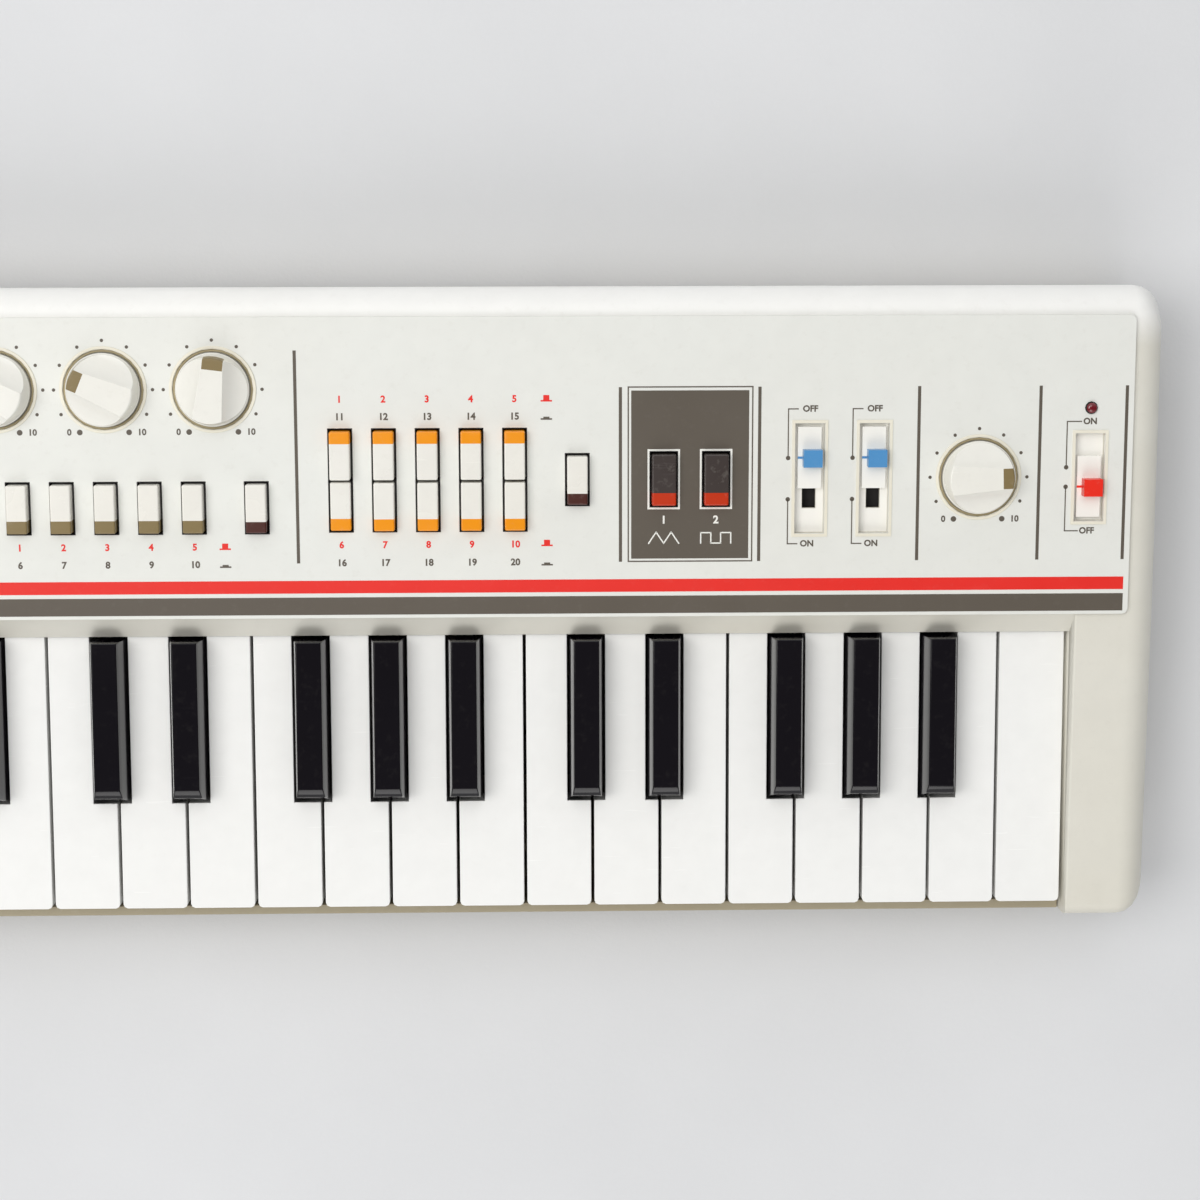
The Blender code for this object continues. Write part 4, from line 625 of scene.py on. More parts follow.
def scoop(side):
    """A cylinder along the bar, turned a little so that the bar tapers to its pointer."""
    mesh = bmesh.new()
    bmesh.ops.create_cone(
        mesh, cap_ends=True, segments=128, radius1=SCOOP_RADIUS, radius2=SCOOP_RADIUS, depth=40.0
    )
    rise = SCOOP_FLOOR + SCOOP_RADIUS
    bar = (BAR_AT_POINTER + BAR_AT_TAIL) / 2
    reach = bar + math.sqrt(SCOOP_RADIUS ** 2 - (rise - KNOB_TOP) ** 2)
    taper = math.atan((BAR_AT_TAIL - BAR_AT_POINTER) / (2 * KNOB_RADIUS))
    place = (
        Matrix.Rotation(side * taper, 4, "Z")
        @ Matrix.Translation((side * reach, 0, rise))
        @ Matrix.Rotation(math.pi / 2, 4, "X")
    )
    bmesh.ops.transform(mesh, matrix=place, verts=mesh.verts)
    return loose_object("scoop", mesh)


def knob_profile():
    """A knob's outline from its hub up to the rounded rim of its top."""
    profile = [(HUB_RADIUS, HUB_FOOT), (HUB_RADIUS, SKIRT_FOOT), (KNOB_RADIUS, SKIRT_FOOT)]
    profile.append((KNOB_RADIUS, KNOB_SKIRT - SKIRT_CHAMFER))
    profile.append((KNOB_RADIUS - SKIRT_CHAMFER, KNOB_SKIRT))
    for step in range(ROUND_STEPS + 1):
        angle = math.pi / 2 * step / ROUND_STEPS
        out, up = TOP_ROUND * math.cos(angle), TOP_ROUND * math.sin(angle)
        profile.append((TOP_RADIUS - TOP_ROUND + out, KNOB_TOP - TOP_ROUND + up))
    return profile


def mark_pointer(mesh):
    """Colours the end of the bar, after cutting the mesh along the mark's borders."""
    back = TOP_RADIUS - MARK_LENGTH
    edge = BAR_AT_POINTER + 0.2
    foot = (KNOB_SKIRT + KNOB_TOP) / 2
    cut_along(mesh, Vector((0, back, 0)), Vector((0, 1, 0)))
    cut_along(mesh, Vector((0, 0, foot)), Vector((0, 0, 1)))
    for side in (-1, 1):
        cut_along(mesh, Vector((side * edge, 0, 0)), Vector((1, 0, 0)))
    for face in mesh.faces:
        centre = face.calc_center_median()
        marked = centre.y > back and abs(centre.x) < edge and centre.z > foot
        face.material_index = 1 if marked else 0


def knob(node, across, up_slope, degrees):
    """Turns, scoops and marks a knob, and sets it on its axis at its angle."""
    turned = bmesh.new()
    drum(turned, knob_profile())
    mesh = carve(loose_object("drum", turned), [scoop(-1), scoop(1)])
    bmesh.ops.dissolve_limit(mesh, angle_limit=FLAT, verts=mesh.verts, edges=mesh.edges)
    round_edges(mesh, 0.5, 4, lambda c: c.z > 0.8, scale=1.0)
    mark_pointer(mesh)
    turn = Matrix.Rotation(math.radians(degrees), 4, "Z")
    place = PANEL @ Matrix.Translation((across, up_slope, 0)) @ turn
    bmesh.ops.transform(mesh, matrix=place, verts=mesh.verts)
    finish_piece(f"{node}_cap", mesh, [KNOB, KHAKI], node, (node,))


for node, (across, up_slope, degrees) in KNOB_PLACES.items():
    knob(node, across, up_slope, degrees)
    print(node, "points", round(degrees), "degrees from straight up the slope")

# %% [markdown]
# ## What the screen printer adds
# Stripes, frames and rules are ink, a few hundredths of a millimetre thick. Ink of one colour goes on in
# one pass on the real plate, so here each colour is one mesh of thin slabs.

# %% Thin slabs of ink
INK = 0.04


def slab(mesh, left, low, right, high, bottom=-0.02, top=INK):
    """A flat bar of ink on the panel, told by its corners in millimetres."""
    size = Vector((right - left, high - low, top - bottom))
    centre = Vector(((left + right) / 2, (low + high) / 2, (top + bottom) / 2))
    bmesh.ops.create_cube(mesh, size=1.0, matrix=PANEL @ Matrix.LocRotScale(centre, None, size))


def frame_line(mesh, left, low, right, high, line, bottom=-0.02, top=INK):
    """A rectangular outline, its outer corners given."""
    slab(mesh, left, low, right, low + line, bottom, top)
    slab(mesh, left, high - line, right, high, bottom, top)
    slab(mesh, left, low + line, left + line, high - line, bottom, top)
    slab(mesh, right - line, low + line, right, high - line, bottom, top)


def grown(outline, sideways, along):
    """An outline moved outwards."""
    left, low, right, high = outline
    return left - sideways, low - along, right + sideways, high + along


# %% Stripes and separators
STRIPE_HALF = 280.0
RED_STRIPE = (6.7, 10.1)
GREY_STRIPE = (0.9, 5.6)
SEPARATORS = (279.5, 256.6, 224.4, 182.2, 145.4)
SEPARATOR_SPAN = (14.8, 61.2)
LONG_SEPARATOR = (60.0, 71.1)
HALF_RULE = 0.42
ROW = panel_spot("tone_select_button")[1]
red, grey, white = bmesh.new(), bmesh.new(), bmesh.new()
slab(red, -STRIPE_HALF, RED_STRIPE[0], STRIPE_HALF, RED_STRIPE[1])
slab(grey, -STRIPE_HALF, GREY_STRIPE[0], STRIPE_HALF, GREY_STRIPE[1])
for x in SEPARATORS:
    slab(grey, x - HALF_RULE, SEPARATOR_SPAN[0], x + HALF_RULE, SEPARATOR_SPAN[1])
x, top = LONG_SEPARATOR
slab(grey, x - HALF_RULE, SEPARATOR_SPAN[0], x + HALF_RULE, top)
print("the main row of controls lies", round(ROW, 2), "mm up the slope")

# %% The dark field round the modulation buttons, left open over their windows
BORDER = (147.3, 14.7, 180.5, 61.4)
FIELD = (148.25, 15.6, 179.4, 60.3)
BORDER_LINE = 0.35
WINDOW_GAP = (0.6, 0.7)
WINDOW_LINE = 0.5
frame_line(grey, *BORDER, BORDER_LINE)
modulator_outlines = [shown_outline(node) for node in MODULATORS]
windows = [grown(outline, *WINDOW_GAP) for outline in modulator_outlines]
below, above = windows[0][1], windows[0][3]
slab(grey, FIELD[0], FIELD[1], FIELD[2], below)
slab(grey, FIELD[0], above, FIELD[2], FIELD[3])
edges = [FIELD[0], windows[0][0], windows[0][2], windows[1][0], windows[1][2], FIELD[2]]
for left, right in zip(edges[0::2], edges[1::2]):
    slab(grey, left, below, right, above)
for window in windows:
    frame_line(white, *grown(window, WINDOW_LINE, WINDOW_LINE), WINDOW_LINE, INK, INK + 0.08)
print("windows in the dark field:", len(windows))

# %% [markdown]
# ## Leader lines and numerals
# Thin lines lead from each switch position to its label, and each ends in a dot. The labels here are plain
# numbers, ON and OFF. Letters are text objects turned into meshes before they are laid on the panel.

# %% Lines, dots and letters
HAIR = 0.3
DOT = 0.6
LETTER = 1.6
DIGIT = 1.75
CAPITALS = 0.7
BOLDER = 0.035


def leader(mesh, across, start, end, reach):
    """A dot, a line from it up or down the slope, and a foot towards the label."""
    low, high = sorted((start, end))
    slab(mesh, across - HAIR / 2, low, across + HAIR / 2, high)
    slab(mesh, across - HAIR / 2, end - HAIR / 2, across + reach, end + HAIR / 2)
    place = PANEL @ Matrix.Translation((across, start, 0.01))
    bmesh.ops.create_cone(
        mesh, cap_ends=True, segments=20, radius1=DOT, radius2=DOT, depth=0.06, matrix=place
    )


def letters(mesh, text, across, up_slope, height, out=0.01):
    """Sets a short text, centred on a place of the panel."""
    curve = bpy.data.curves.new("letters", "FONT")
    curve.body = text
    curve.size = height / CAPITALS
    curve.offset = BOLDER * curve.size
    curve.align_x = "CENTER"
    curve.align_y = "CENTER"
    curve.extrude = 0.03
    curve.resolution_u = 3
    made = placed("letters", curve)
    bpy.context.view_layer.update()
    flat = made.to_mesh()
    flat.transform(PANEL @ Matrix.Translation((across, up_slope, out)))
    mesh.from_mesh(flat)
    made.to_mesh_clear()
    bpy.data.objects.remove(made)


# %% ON and OFF by the slide switches
# Each label is its word, the dot's row, the word's row, the foot's reach and the word's middle.
EFFECT_LABELS = (("OFF", 42.3, 55.3, 2.7, 5.8), ("ON", 31.3, 19.4, 2.7, 5.2))
POWER_LABELS = (("ON", 39.5, 51.7, 3.9, 6.1), ("OFF", 34.3, 22.5, 3.6, 5.9))
SWITCH_LABELS = {
    "vibrato_slider": (6.4, EFFECT_LABELS),
    "sustain_slider": (6.4, EFFECT_LABELS),
    "power_slider": (6.9, POWER_LABELS),
}
for node, (aside, labels) in SWITCH_LABELS.items():
    across = panel_spot(node)[0] - aside
    for word, dot_row, word_row, reach, middle in labels:
        leader(grey, across, dot_row, word_row, reach)
        letters(grey, word, across + middle, word_row, LETTER)
print("switches with labels:", len(SWITCH_LABELS))

# %% Numbers by the voices, the rhythms and the dials
# Each row of numbers is its ink, what it adds to the column's number, and its place up the slope.
TONE_ROWS = ((red, 0, 58.2), (grey, 10, 53.6), (red, 5, 19.6), (grey, 15, 14.8))
RHYTHM_ROWS = ((red, 0, 19.2), (grey, 5, 14.5))
DIAL_LABELS = (("0", -9.2), ("10", 9.8))
DIAL_ROW = -11.2
MODULATOR_ROW, MODULATOR_DIGIT = 25.9, 2.0
for kind, rows in (("tone_button_lower", TONE_ROWS), ("rhythm_button", RHYTHM_ROWS)):
    for column in COLUMNS:
        across = panel_spot(f"{kind}_{column}")[0]
        for ink, added, row in rows:
            letters(ink, str(column + added), across, row, DIGIT)
    print(kind, "numbers:", len(rows) * len(COLUMNS))
for across, up_slope, _ in KNOB_PLACES.values():
    for label, aside in DIAL_LABELS:
        letters(grey, label, across + aside, up_slope + DIAL_ROW, LETTER)
for number, outline in enumerate(modulator_outlines, 1):
    middle = (outline[0] + outline[2]) / 2
    letters(white, str(number), middle, MODULATOR_ROW, MODULATOR_DIGIT, INK)

# %% Small signs of a button that stands up or is pushed down
# By their place across, the rows of the red sign and of the grey sign under it.
SIGN_ROWS = {125.9: ((58.2, 53.4), (19.8, 14.6)), 40.7: ((19.2, 14.4),)}


def button_sign(mesh, across, up_slope, rise):
    """A base line with the cap standing on it."""
    slab(mesh, across - 1.5, up_slope - 0.7, across + 1.5, up_slope - 0.3)
    slab(mesh, across - 0.8, up_slope - 0.3, across + 0.8, up_slope - 0.3 + rise)


for across, rows in SIGN_ROWS.items():
    for high_row, low_row in rows:
        button_sign(red, across, high_row, 1.3)
        button_sign(grey, across, low_row, 0.4)
    print("signs at", across, "mm across:", 2 * len(rows))

# %% Plain wave signs over the modulation buttons, and the three prints
WAVE_ROW = 21.2
TRIANGLES = [(-4, -1.5), (-2, 1.5), (0, -1.5), (2, 1.5), (4, -1.5)]
SQUARES = [(-4, -1.5), (-4, 1.3), (-1.3, 1.3), (-1.3, -1.5), (1.3, -1.5), (1.3, 1.3), (4, 1.3), (4, -1.5)]


def wave(mesh, across, points):
    """A thin printed line through points given from the middle of the sign."""
    for (x0, y0), (x1, y1) in zip(points, points[1:]):
        run = Vector((x1 - x0, y1 - y0))
        turn = Matrix.Rotation(math.atan2(run.y, run.x), 4, "Z")
        place = Matrix.Translation((across + (x0 + x1) / 2, WAVE_ROW + (y0 + y1) / 2, INK + 0.02))
        size = Matrix.Diagonal((run.length + 0.3, 0.34, 0.06, 1))
        bmesh.ops.create_cube(mesh, size=1.0, matrix=PANEL @ place @ turn @ size)


for outline, points in zip(modulator_outlines, (TRIANGLES, SQUARES)):
    wave(white, (outline[0] + outline[2]) / 2, points)
for name, mesh, ink in (("red", red, INK_RED), ("grey", grey, INK_GREY), ("white", white, INK_WHITE)):
    print(name, "print has", len(mesh.faces), "faces")
    finish_piece(f"{name}_print", mesh, [ink], "case")

# %% [markdown]
# ## Marks round the dials
# Eleven dots stand round each knob, thirty degrees apart, and the first and the last are larger. This
# repeats by rule, so Geometry Nodes make it: points on an arc, and a small disc on each. The tree's named
# inputs are the sizes on the drawing.

# %% A tree that stamps discs on points
def new_tree(name, sizes):
    """A geometry tree with a mesh input, named sizes and a mesh output."""
    return new_group(name, {"Geometry": None, **sizes}, {"Geometry": SHAPE}, "GeometryNodeTree")


def stamp(tree, given, end, shape, material, rotation=(0, 0, 0)):
    """Sets a shape on every point, realizes the copies and gives them a finish, as every tree here ends."""
    values = {"Points": given["Geometry"], "Instance": shape, "Rotation": rotation}
    copies = add_node(tree, "GeometryNodeInstanceOnPoints", values).outputs["Instances"]
    real = add_node(tree, "GeometryNodeRealizeInstances", {"Geometry": copies}).outputs["Geometry"]
    coat = add_node(tree, "GeometryNodeSetMaterial", {"Geometry": real, "Material": material})
    feed(tree, end, {"Geometry": coat.outputs["Geometry"]})
    return tree


def run_tree(name, tree, base, values, body):
    """Runs a tree on a base mesh and keeps the result as a plain piece."""
    source = loose_object(name + "_points", base)
    nodes = source.modifiers.new("nodes", "NODES")
    nodes.node_group = tree
    for item in tree.interface.items_tree:
        if item.item_type == "SOCKET" and item.in_out == "INPUT" and item.name in values:
            nodes[item.identifier] = values[item.name]
    bpy.context.view_layer.update()
    data = bpy.data.meshes.new_from_object(source.evaluated_get(bpy.context.evaluated_depsgraph_get()))
    bpy.data.objects.remove(source)
    data.name = name
    settle(placed(name, data), body)


def build_disc_tree(name, material):
    """A flat disc, turned to the panel, on every point."""
    sizes = {"Radius": 0.45 * MM, "Thickness": 0.06 * MM, "Sides": 16, "Tilt": 0.0}
    tree, given, end = new_tree(name, sizes)
    size = {"Vertices": given["Sides"], "Radius": given["Radius"], "Depth": given["Thickness"]}
    disc = add_node(tree, "GeometryNodeMeshCylinder", size).outputs["Mesh"]
    tilt = add_node(tree, "ShaderNodeCombineXYZ", {"X": given["Tilt"]}).outputs[0]
    return stamp(tree, given, end, disc, material, tilt)


DOT_TREE = build_disc_tree("dial_dots", INK_GREY)
DOT_RING = 12.9
DOT_SPACING = 30


def dial_points(steps):
    """Points round every dial, so many steps from straight up the slope."""
    points = bmesh.new()
    for across, up_slope, _ in KNOB_PLACES.values():
        for step in steps:
            angle = math.radians(step * DOT_SPACING)
            right, up = DOT_RING * math.sin(angle), DOT_RING * math.cos(angle)
            points.verts.new(on_panel(across + right, up_slope + up, 0.01))
    return points


FINE_DOT = {"Radius": 0.45 * MM, "Tilt": PANEL_SLOPE}
END_DOT = {"Radius": 0.75 * MM, "Tilt": PANEL_SLOPE}
run_tree("dial_dots_fine", DOT_TREE, dial_points(range(-4, 5)), FINE_DOT, "case")
run_tree("dial_dots_ends", DOT_TREE, dial_points((-5, 5)), END_DOT, "case")
print("dots round", len(KNOB_PLACES), "dials")

# %% [markdown]
# ## Rims and linings
# A pale rim stands round each knob and each slide switch, and frames the dark gap around the moving part;
# a tan ring of painted shade lies in each knob's gap. The gaps between a push button and its window look
# almost black, because the light that enters is swallowed below, so the windows get a thin black lining of
# painted shade.

# %% Turned rims round the knobs, and tan rings of painted shade in their gaps
def turned_ring(mesh, place, profile, sides=64):
    """A closed profile of radius and height, turned all the way round."""
    rings = []
    for step in range(sides):
        angle = 2 * math.pi * step / sides
        corners = [(r * math.cos(angle), r * math.sin(angle), z) for r, z in profile]
        rings.append([mesh.verts.new(place @ Vector(corner)) for corner in corners])
    for here, after in zip(rings, rings[1:] + rings[:1]):
        for index in range(len(profile)):
            following = (index + 1) % len(profile)
            mesh.faces.new((here[index], after[index], after[following], here[following]))


def crowned(inner, outer, low, high):
    """A flat ring's profile with its upper corners eased."""
    ease = 0.15 * (outer - inner)
    shoulder = high - 0.12
    outside = [(outer, low), (outer, shoulder), (outer - ease, high)]
    inside = [(inner + ease, high), (inner, shoulder)]
    return [(inner, low), *outside, *inside]


def outward(mesh):
    """A mesh whose faces all point out."""
    bmesh.ops.recalc_face_normals(mesh, faces=mesh.faces)
    return mesh


RIM_RING = crowned(10.62, 11.4, -0.15, 0.32)
# The well ring stands in the gap round the knob; its tan is painted shade.
WELL_RING = crowned(9.9, 10.55, -0.95, -0.35)
rims, wells = bmesh.new(), bmesh.new()
for across, up_slope, _ in KNOB_PLACES.values():
    place = PANEL @ Matrix.Translation((across, up_slope, 0))
    turned_ring(rims, place, RIM_RING)
    turned_ring(wells, place, WELL_RING)
finish_piece("knob_rims", outward(rims), [RIM], "case")
finish_piece("knob_well_shade", outward(wells), [WELL_SHADE_TAN], "case")
print("rims round", len(KNOB_PLACES), "knobs")

# %% Bezels round the slide switches
RECESS_HALF_WIDTH = 3.95
RECESS_END = 9.15
GRIP_SHIFT = 0.6
BEZEL_GROWTH = (0.8, 0.85)
BEZEL_LINE = 0.75
BEZEL_LAYER = (-0.1, 0.3)


def recess(node):
    """A switch's recess: its middle across and up the slope, and half of the switch's travel."""
    across, up_slope = panel_spot(node)
    return across - GRIP_SHIFT, up_slope + half_travel(node), abs(half_travel(node))


bezels = bmesh.new()
for node in SLIDER_COLOURS:
    across, middle, half = recess(node)
    opening = grown((across, middle, across, middle), RECESS_HALF_WIDTH, half + RECESS_END)
    frame_line(bezels, *grown(opening, *BEZEL_GROWTH), BEZEL_LINE, *BEZEL_LAYER)
    print(node, "recess is", round(2 * (half + RECESS_END), 1), "mm long")
finish_piece("switch_bezels", bezels, [RIM], "case")

# %% Pale slabs of painted light on the recess floors, left open along the stem's slot
RECESS_FLOOR = -2.25
LIT_SLAB_GAP = 0.15
SLOT_HALF_WIDTH = 1.9
STEM_HALF = 2.7
lit_floor_slabs = bmesh.new()
for node in SLIDER_COLOURS:
    across, middle, half = recess(node)
    left, right = across - RECESS_HALF_WIDTH + LIT_SLAB_GAP, across + RECESS_HALF_WIDTH - LIT_SLAB_GAP
    end, slot = half + RECESS_END - LIT_SLAB_GAP, half + STEM_HALF
    layer = (RECESS_FLOOR - 0.02, RECESS_FLOOR + 0.1)
    slab(lit_floor_slabs, left, middle - end, right, middle - slot, *layer)
    slab(lit_floor_slabs, left, middle + slot, right, middle + end, *layer)
    slab(lit_floor_slabs, left, middle - slot, across - SLOT_HALF_WIDTH, middle + slot, *layer)
    slab(lit_floor_slabs, across + SLOT_HALF_WIDTH, middle - slot, right, middle + slot, *layer)
print("guides:", len(SLIDER_COLOURS), "with", len(lit_floor_slabs.faces), "faces")
finish_piece("switch_recess_painted_light", lit_floor_slabs, [PAINTED_LIGHT_WHITE], "case")

# %% Black lining of painted shade in the button windows
LINING = 0.22
LINING_DEPTH = (-3.6, -0.12)
linings = bmesh.new()


def lining(nodes):
    """Lines the window that one button, or a column of two, stands in, with black painted shade."""
    outlines = [shown_outline(node) for node in nodes]
    lows, highs = zip(*((outline[:2], outline[2:]) for outline in outlines))
    outline = (*(min(values) for values in zip(*lows)), *(max(values) for values in zip(*highs)))
    window = grown(outline, WINDOW_GAP[0] - 0.03, WINDOW_GAP[1] - 0.03)
    frame_line(linings, *window, LINING, *LINING_DEPTH)


for column in COLUMNS:
    lining([f"tone_button_upper_{column}", f"tone_button_lower_{column}"])
    lining([f"rhythm_button_{column}"])
for node in (*SELECTORS, *MODULATORS):
    lining([node])
finish_piece("window_shade_linings", linings, [SHADOW], "case")
print("window linings placed")

# %% [markdown]
# ## The indicator lamp
# The lamp is a small red dome of clear plastic that sits in a hole in the plate.

# %% A domed lens
LAMP_SPOT = (panel_spot("power_slider")[0] - GRIP_SHIFT, 55.3)
LAMP_RADIUS = 1.42
LAMP_FOOT = -0.6
LAMP_SHOULDER = 0.55
DOME_HEIGHT = 0.75
DOME_STEPS = 8
lens = bmesh.new()
dome = [(LAMP_RADIUS, LAMP_FOOT), (LAMP_RADIUS, LAMP_SHOULDER)]
for step in range(1, DOME_STEPS):
    angle = math.pi / 2 * step / DOME_STEPS
    dome.append((LAMP_RADIUS * math.cos(angle), LAMP_SHOULDER + DOME_HEIGHT * math.sin(angle)))
drum(lens, dome, 32)
bmesh.ops.transform(lens, matrix=PANEL @ Matrix.Translation((*LAMP_SPOT, 0)), verts=lens.verts)
finish_piece("lamp_lens", lens, [LENS], "case")
print("lamp at", [round(place, 1) for place in LAMP_SPOT], "mm on the panel")

# %% [markdown]
# ## Inside and behind
# The board, the speaker and the key contacts are seen only through slots and gaps. They keep their real
# finishes, except that the switch bodies under the slide switches are black, painted shade seen through
# their slots. The board's copper side, potentiometers and sockets differ by height over it.

# %% Dress the inner parts
BOARD_TOP, BOARD_BACK = -10.5, -12.9
SWITCH_REACH = 7
SWITCH_X = [panel_spot(node)[0] for node in SLIDER_COLOURS]


def board_finish(centre):
    """Laminate for the board, steel on it, black below it, and black painted shade on the slide switches' bodies.
    """
    place = PANEL.inverted() @ centre
    if BOARD_BACK < place.z < BOARD_TOP:
        return 0
    # Near a slide switch, the switch body is black: painted shade seen through the slot.
    if place.z > BOARD_TOP and min(abs(place.x - x) for x in SWITCH_X) > SWITCH_REACH:
        return 1
    return 2


def no_edge(place):
    """No edge at all, for what is only seen through a slot."""
    return False


mould("main_board", 0.15, [LAMINATE, STEEL, SHADOW], choose=board_finish, segments=1, wanted=no_edge)
mould("key_contact_board", 0.3, [RUBBER])
SPEAKER_SPOT = (-217.4, 53.0)
CONE_HALF = (38.9, 19.4)
CONE_DEPTH = -15.6


def speaker_finish(centre):
    """Paper for the cone, and steel for the frame and what stands behind it."""
    place = PANEL.inverted() @ centre
    away = [(place[axis] - SPEAKER_SPOT[axis]) / CONE_HALF[axis] for axis in (0, 1)]
    return 1 if away[0] ** 2 + away[1] ** 2 < 1 and place.z > CONE_DEPTH else 0


mould("speaker", 0.3, [STEEL, CONE], choose=speaker_finish, wanted=no_edge)
print("inner parts dressed")

# %% [markdown]
# ## The speaker's grille cloth
# Behind the grille slots lies a fine black mesh that keeps dust off the cone. A woven mesh is two sets of
# parallel threads, so a short tree lays one thread on each point of a line, twice.

# %% Threads behind the slots
def build_thread_tree():
    """A thread that lies level with the panel, on every point."""
    sizes = {"Length": 40 * MM, "Thickness": 0.2 * MM, "Turn": 0.0}
    tree, given, end = new_tree("grille_threads", sizes)
    size = {"Vertices": 6, "Radius": given["Thickness"], "Depth": given["Length"]}
    thread = add_node(tree, "GeometryNodeMeshCylinder", size).outputs["Mesh"]
    lying = {"X": math.pi / 2 + PANEL_SLOPE, "Z": given["Turn"]}
    turn = add_node(tree, "ShaderNodeCombineXYZ", lying).outputs[0]
    return stamp(tree, given, end, thread, CONE, turn)


THREADS = build_thread_tree()
CLOTH_SIZE = (102.0, 41.0)
CLOTH_DEPTH = -3.8
THREAD = 0.08 * MM
warp, weft = bmesh.new(), bmesh.new()
for step in range(round(CLOTH_SIZE[0]) + 1):
    warp.verts.new(on_panel(SPEAKER_SPOT[0] - CLOTH_SIZE[0] / 2 + step, SPEAKER_SPOT[1], CLOTH_DEPTH))
for step in range(round(CLOTH_SIZE[1]) + 1):
    weft.verts.new(on_panel(SPEAKER_SPOT[0], SPEAKER_SPOT[1] - CLOTH_SIZE[1] / 2 + step, CLOTH_DEPTH - 0.02))
WARP = {"Length": CLOTH_SIZE[1] * MM, "Thickness": THREAD}
WEFT = {"Length": CLOTH_SIZE[0] * MM, "Thickness": THREAD, "Turn": math.pi / 2}
run_tree("grille_warp", THREADS, warp, WARP, "case")
run_tree("grille_weft", THREADS, weft, WEFT, "case")
print("threads:", round(CLOTH_SIZE[0]) + 1, "by", round(CLOTH_SIZE[1]) + 1)

# %% [markdown]
# ## Screws, feet, grip ridges and socket nuts
# The small hardware is what makes the underside believable: cross-head screws in their recesses, rubber
# pads on the feet, ridges on the battery cover to push with a thumb, and plated rings round the sockets.

# %% Screws in their recesses
SCREW_SPOTS = [(side * 278.8, back) for side in (-1, 1) for back in (-68.5, 67.5)]
SCREW_SPOTS += [(side * 156.65, 80.3) for side in (-1, 1)]
SCREW_MIDDLE = 2.9
CROSS_TURN = 0.4
CROSS_BAR = (2.2 * MM, 0.5 * MM, 1.0 * MM)
CROSS_DEPTH = 0.5 * MM


def build_screw_tree():
    """A screw head on every point: a flat drum with a cross cut into its lower face."""
    tree, given, end = new_tree("screw_heads", {"Radius": 1.9 * MM, "Height": 0.8 * MM})
    size = {"Vertices": 28, "Radius": given["Radius"], "Depth": given["Height"]}
    solid = add_node(tree, "GeometryNodeMeshCylinder", size).outputs["Mesh"]
    for turn in (CROSS_TURN, CROSS_TURN + math.pi / 2):
        bar = add_node(tree, "GeometryNodeMeshCube", {"Size": CROSS_BAR}).outputs["Mesh"]
        placing = {"Geometry": bar, "Translation": (0, 0, -CROSS_DEPTH), "Rotation": (0, 0, turn)}
        shift = add_node(tree, "GeometryNodeTransform", placing).outputs["Geometry"]
        cut = tree.nodes.new("GeometryNodeMeshBoolean")
        cut.operation = "DIFFERENCE"
        feed(tree, cut, {"Mesh 1": solid, "Mesh 2": shift})
        solid = cut.outputs["Mesh"]
    return stamp(tree, given, end, solid, STEEL)


spots = bmesh.new()
for x, y in SCREW_SPOTS:
    spots.verts.new((x * MM, y * MM, SCREW_MIDDLE * MM))
run_tree("case_screws", build_screw_tree(), spots, {}, "case")
print("screws:", len(SCREW_SPOTS))

# %% Ridges on the battery cover
RIDGE_GROUPS = (-80, 80)
RIDGES = 7
RIDGE_SPACING = 1.8
FIRST_RIDGE = 66
RIDGE_MIDDLE = 1.85


def build_ridge_tree():
    """A straight ridge on every point."""
    sizes = {"Length": 26 * MM, "Width": 0.9 * MM, "Height": 0.5 * MM}
    tree, given, end = new_tree("thumb_ridges", sizes)
    sides = {axis: given[label] for axis, label in zip("XYZ", sizes)}
    size = add_node(tree, "ShaderNodeCombineXYZ", sides).outputs[0]
    bar = add_node(tree, "GeometryNodeMeshCube", {"Size": size}).outputs["Mesh"]
    return stamp(tree, given, end, bar, TRAY)


ridges = bmesh.new()
for x in RIDGE_GROUPS:
    for step in range(RIDGES):
        ridges.verts.new((x * MM, (FIRST_RIDGE + step * RIDGE_SPACING) * MM, RIDGE_MIDDLE * MM))
run_tree("cover_ridges", build_ridge_tree(), ridges, {}, "battery_cover")
print("ridges:", len(RIDGE_GROUPS) * RIDGES)

# %% Rings round the sockets in the rear wall
SOCKET_X = (233.4, 207.4, 181.4)
SOCKET_PLACE = (84.6, 31.3)
SOCKET_RING = [(3.5, 0.0), (4.6, 0.0), (4.6, 0.9), (4.3, 1.2), (3.7, 1.2), (3.5, 1.0)]
nuts = bmesh.new()
for x in SOCKET_X:
    facing_back = Matrix.Rotation(-math.pi / 2, 4, "X")
    place = Matrix.Scale(MM, 4) @ Matrix.Translation((x, *SOCKET_PLACE)) @ facing_back
    turned_ring(nuts, place, SOCKET_RING, 48)
finish_piece("socket_rings", outward(nuts), [STEEL], "case")
print("rings round", len(SOCKET_X), "sockets")

# %% [markdown]
# ## The studio
# The keyboard was photographed from above on a pale, faintly mottled cloth under soft light. The room is dim
# overhead, so the black keys stay black, and bright behind and in front, which lights their noses. One large
# lamp high on the left throws the soft shadow on the right, one behind brightens the rear edge, and a wide one
# in front keeps the floor there as pale as the rest.

# %% The floor
FLOOR_DARK, FLOOR_PALE = linear(217, 218, 220), linear(226, 227, 229)
FLOOR_HALF = 4.0


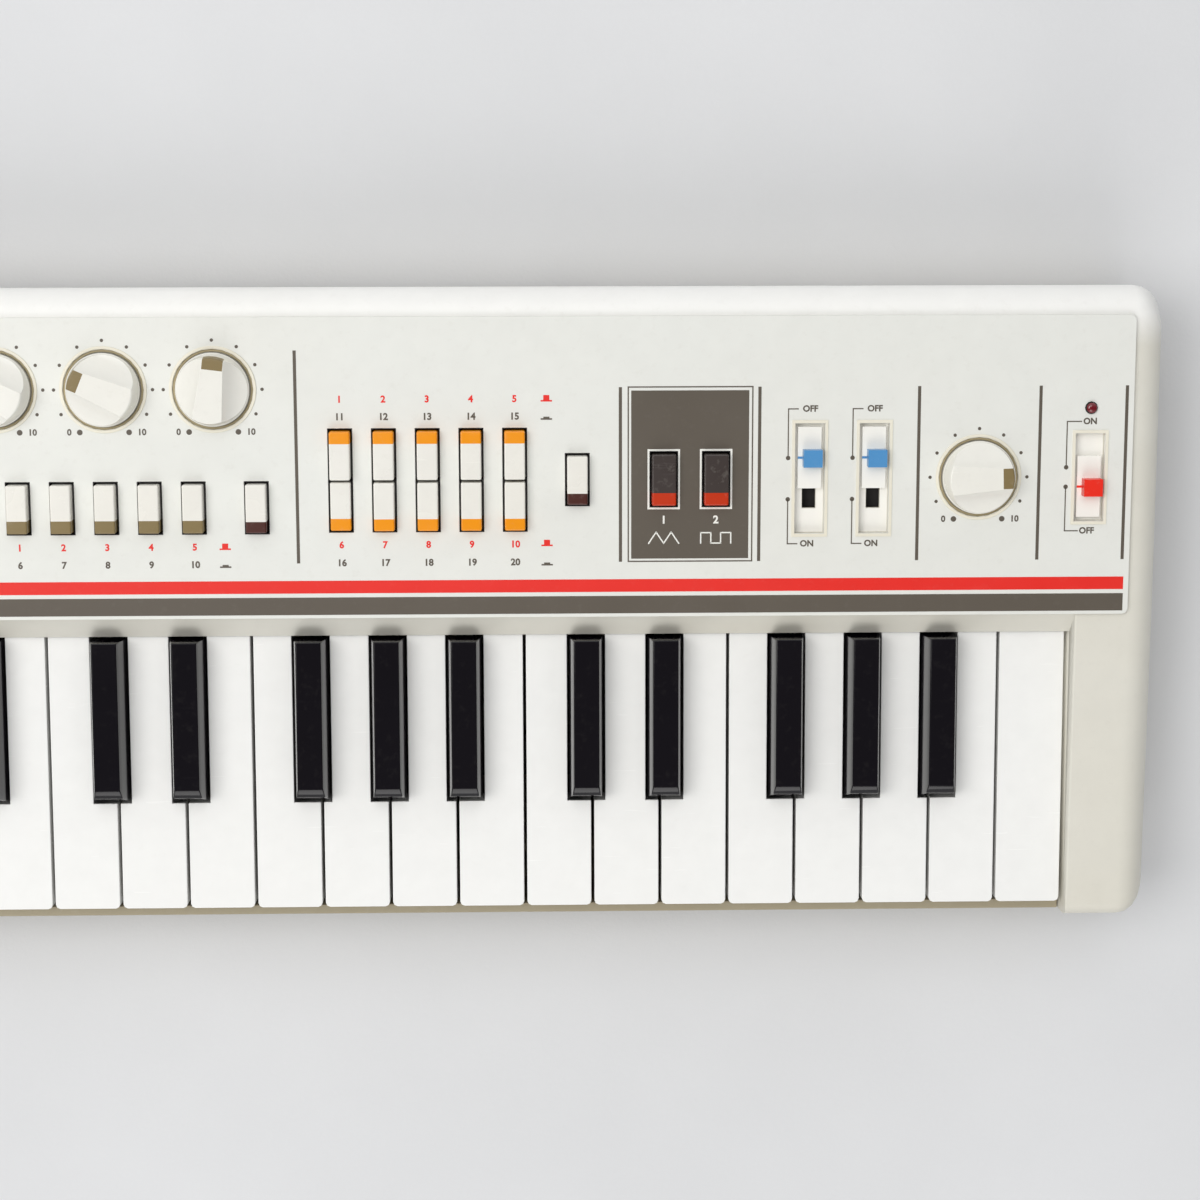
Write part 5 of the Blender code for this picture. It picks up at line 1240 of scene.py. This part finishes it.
def floor_material():
    """A pale cloth with a fine weave and faint blotches."""
    made = bpy.data.materials.new("studio_cloth")
    made.use_nodes = True
    tree = made.node_tree
    place = tree.nodes.new("ShaderNodeTexCoord").outputs["Object"]
    weave = noise(tree, place, 900.0, 2.0)
    blotch = noise(tree, place, 5.0, 5.0)
    colour = mix_colour(tree, spread(tree, blotch, 0.3, 0.7, 0.0, 1.0), FLOOR_DARK, FLOOR_PALE)
    bump = add_node(tree, "ShaderNodeBump", {"Strength": 0.3, "Distance": 0.0002, "Height": weave})
    cloth = {"Base Color": colour, "Roughness": 0.95, "Normal": bump.outputs["Normal"]}
    feed(tree, tree.nodes["Principled BSDF"], cloth)
    return made


floor_mesh = bmesh.new()
bmesh.ops.create_grid(floor_mesh, x_segments=2, y_segments=2, size=FLOOR_HALF)
floor = loose_object("studio_floor", floor_mesh)
floor.data.materials.append(floor_material())
print("floor:", 2 * FLOOR_HALF, "m wide")

# %% The room's light and three lamps
ROOM, WALL_BEHIND, WALL_IN_FRONT = 0.13, 1.05, 0.85
# Each lamp is its place, its size, its power in watts and its colour.
LAMPS = {
    "window_light": ((-0.95, 0.2, 1.75), 1.2, 17.0, (1.0, 0.99, 0.97)),
    "rear_light": ((-0.1, 0.9, 1.8), 1.2, 6.8, (1.0, 0.99, 0.98)),
    "front_light": ((0.0, -1.5, 1.65), 1.4, 11.5, (1.0, 0.985, 0.97)),
}


def build_room():
    """A dim room with a bright wall behind the keyboard and a paler one in front."""
    world = bpy.data.worlds.new("soft_room")
    world.use_nodes = True
    tree = world.node_tree
    view = tree.nodes.new("ShaderNodeTexCoord").outputs["Generated"]
    back = add_node(tree, "ShaderNodeSeparateXYZ", {"Vector": view}).outputs["Y"]
    behind = spread(tree, back, 0.0, 1.0, ROOM, WALL_BEHIND)
    in_front = spread(tree, back, -0.9, -0.3, WALL_IN_FRONT - ROOM, 0.0)
    strength = calculate(tree, behind, in_front)
    feed(tree, tree.nodes["Background"], {"Color": (0.98, 0.99, 1.0, 1.0), "Strength": strength})
    return world


def lamp(name, place, size, power, colour):
    """A round soft lamp that shines at the middle of the keyboard."""
    light = bpy.data.lights.new(name, "AREA")
    light.shape = "DISK"
    light.size = size
    light.energy = power
    light.color = colour
    made = placed(name, light)
    made.location = place
    made.rotation_euler = (-Vector(place)).to_track_quat("-Z", "Y").to_euler()


scene.world = build_room()
for name, settings in LAMPS.items():
    lamp(name, *settings)
print("lamps:", len(LAMPS))

# %% The camera, where the photographer stood
CAMERA_PLACE = (0.12462, 0.08707, 0.70823)
CAMERA_TURN = (-7.241, -1.347, -0.155)
camera_data = bpy.data.cameras.new("camera")
camera_data.lens = 75.0
camera_data.sensor_width = 36.0
camera = placed("camera", camera_data)
camera.location = CAMERA_PLACE
camera.rotation_euler = tuple(math.radians(angle) for angle in CAMERA_TURN)
scene.camera = camera
scene.view_settings.view_transform = "Standard"
print("camera at", CAMERA_PLACE)
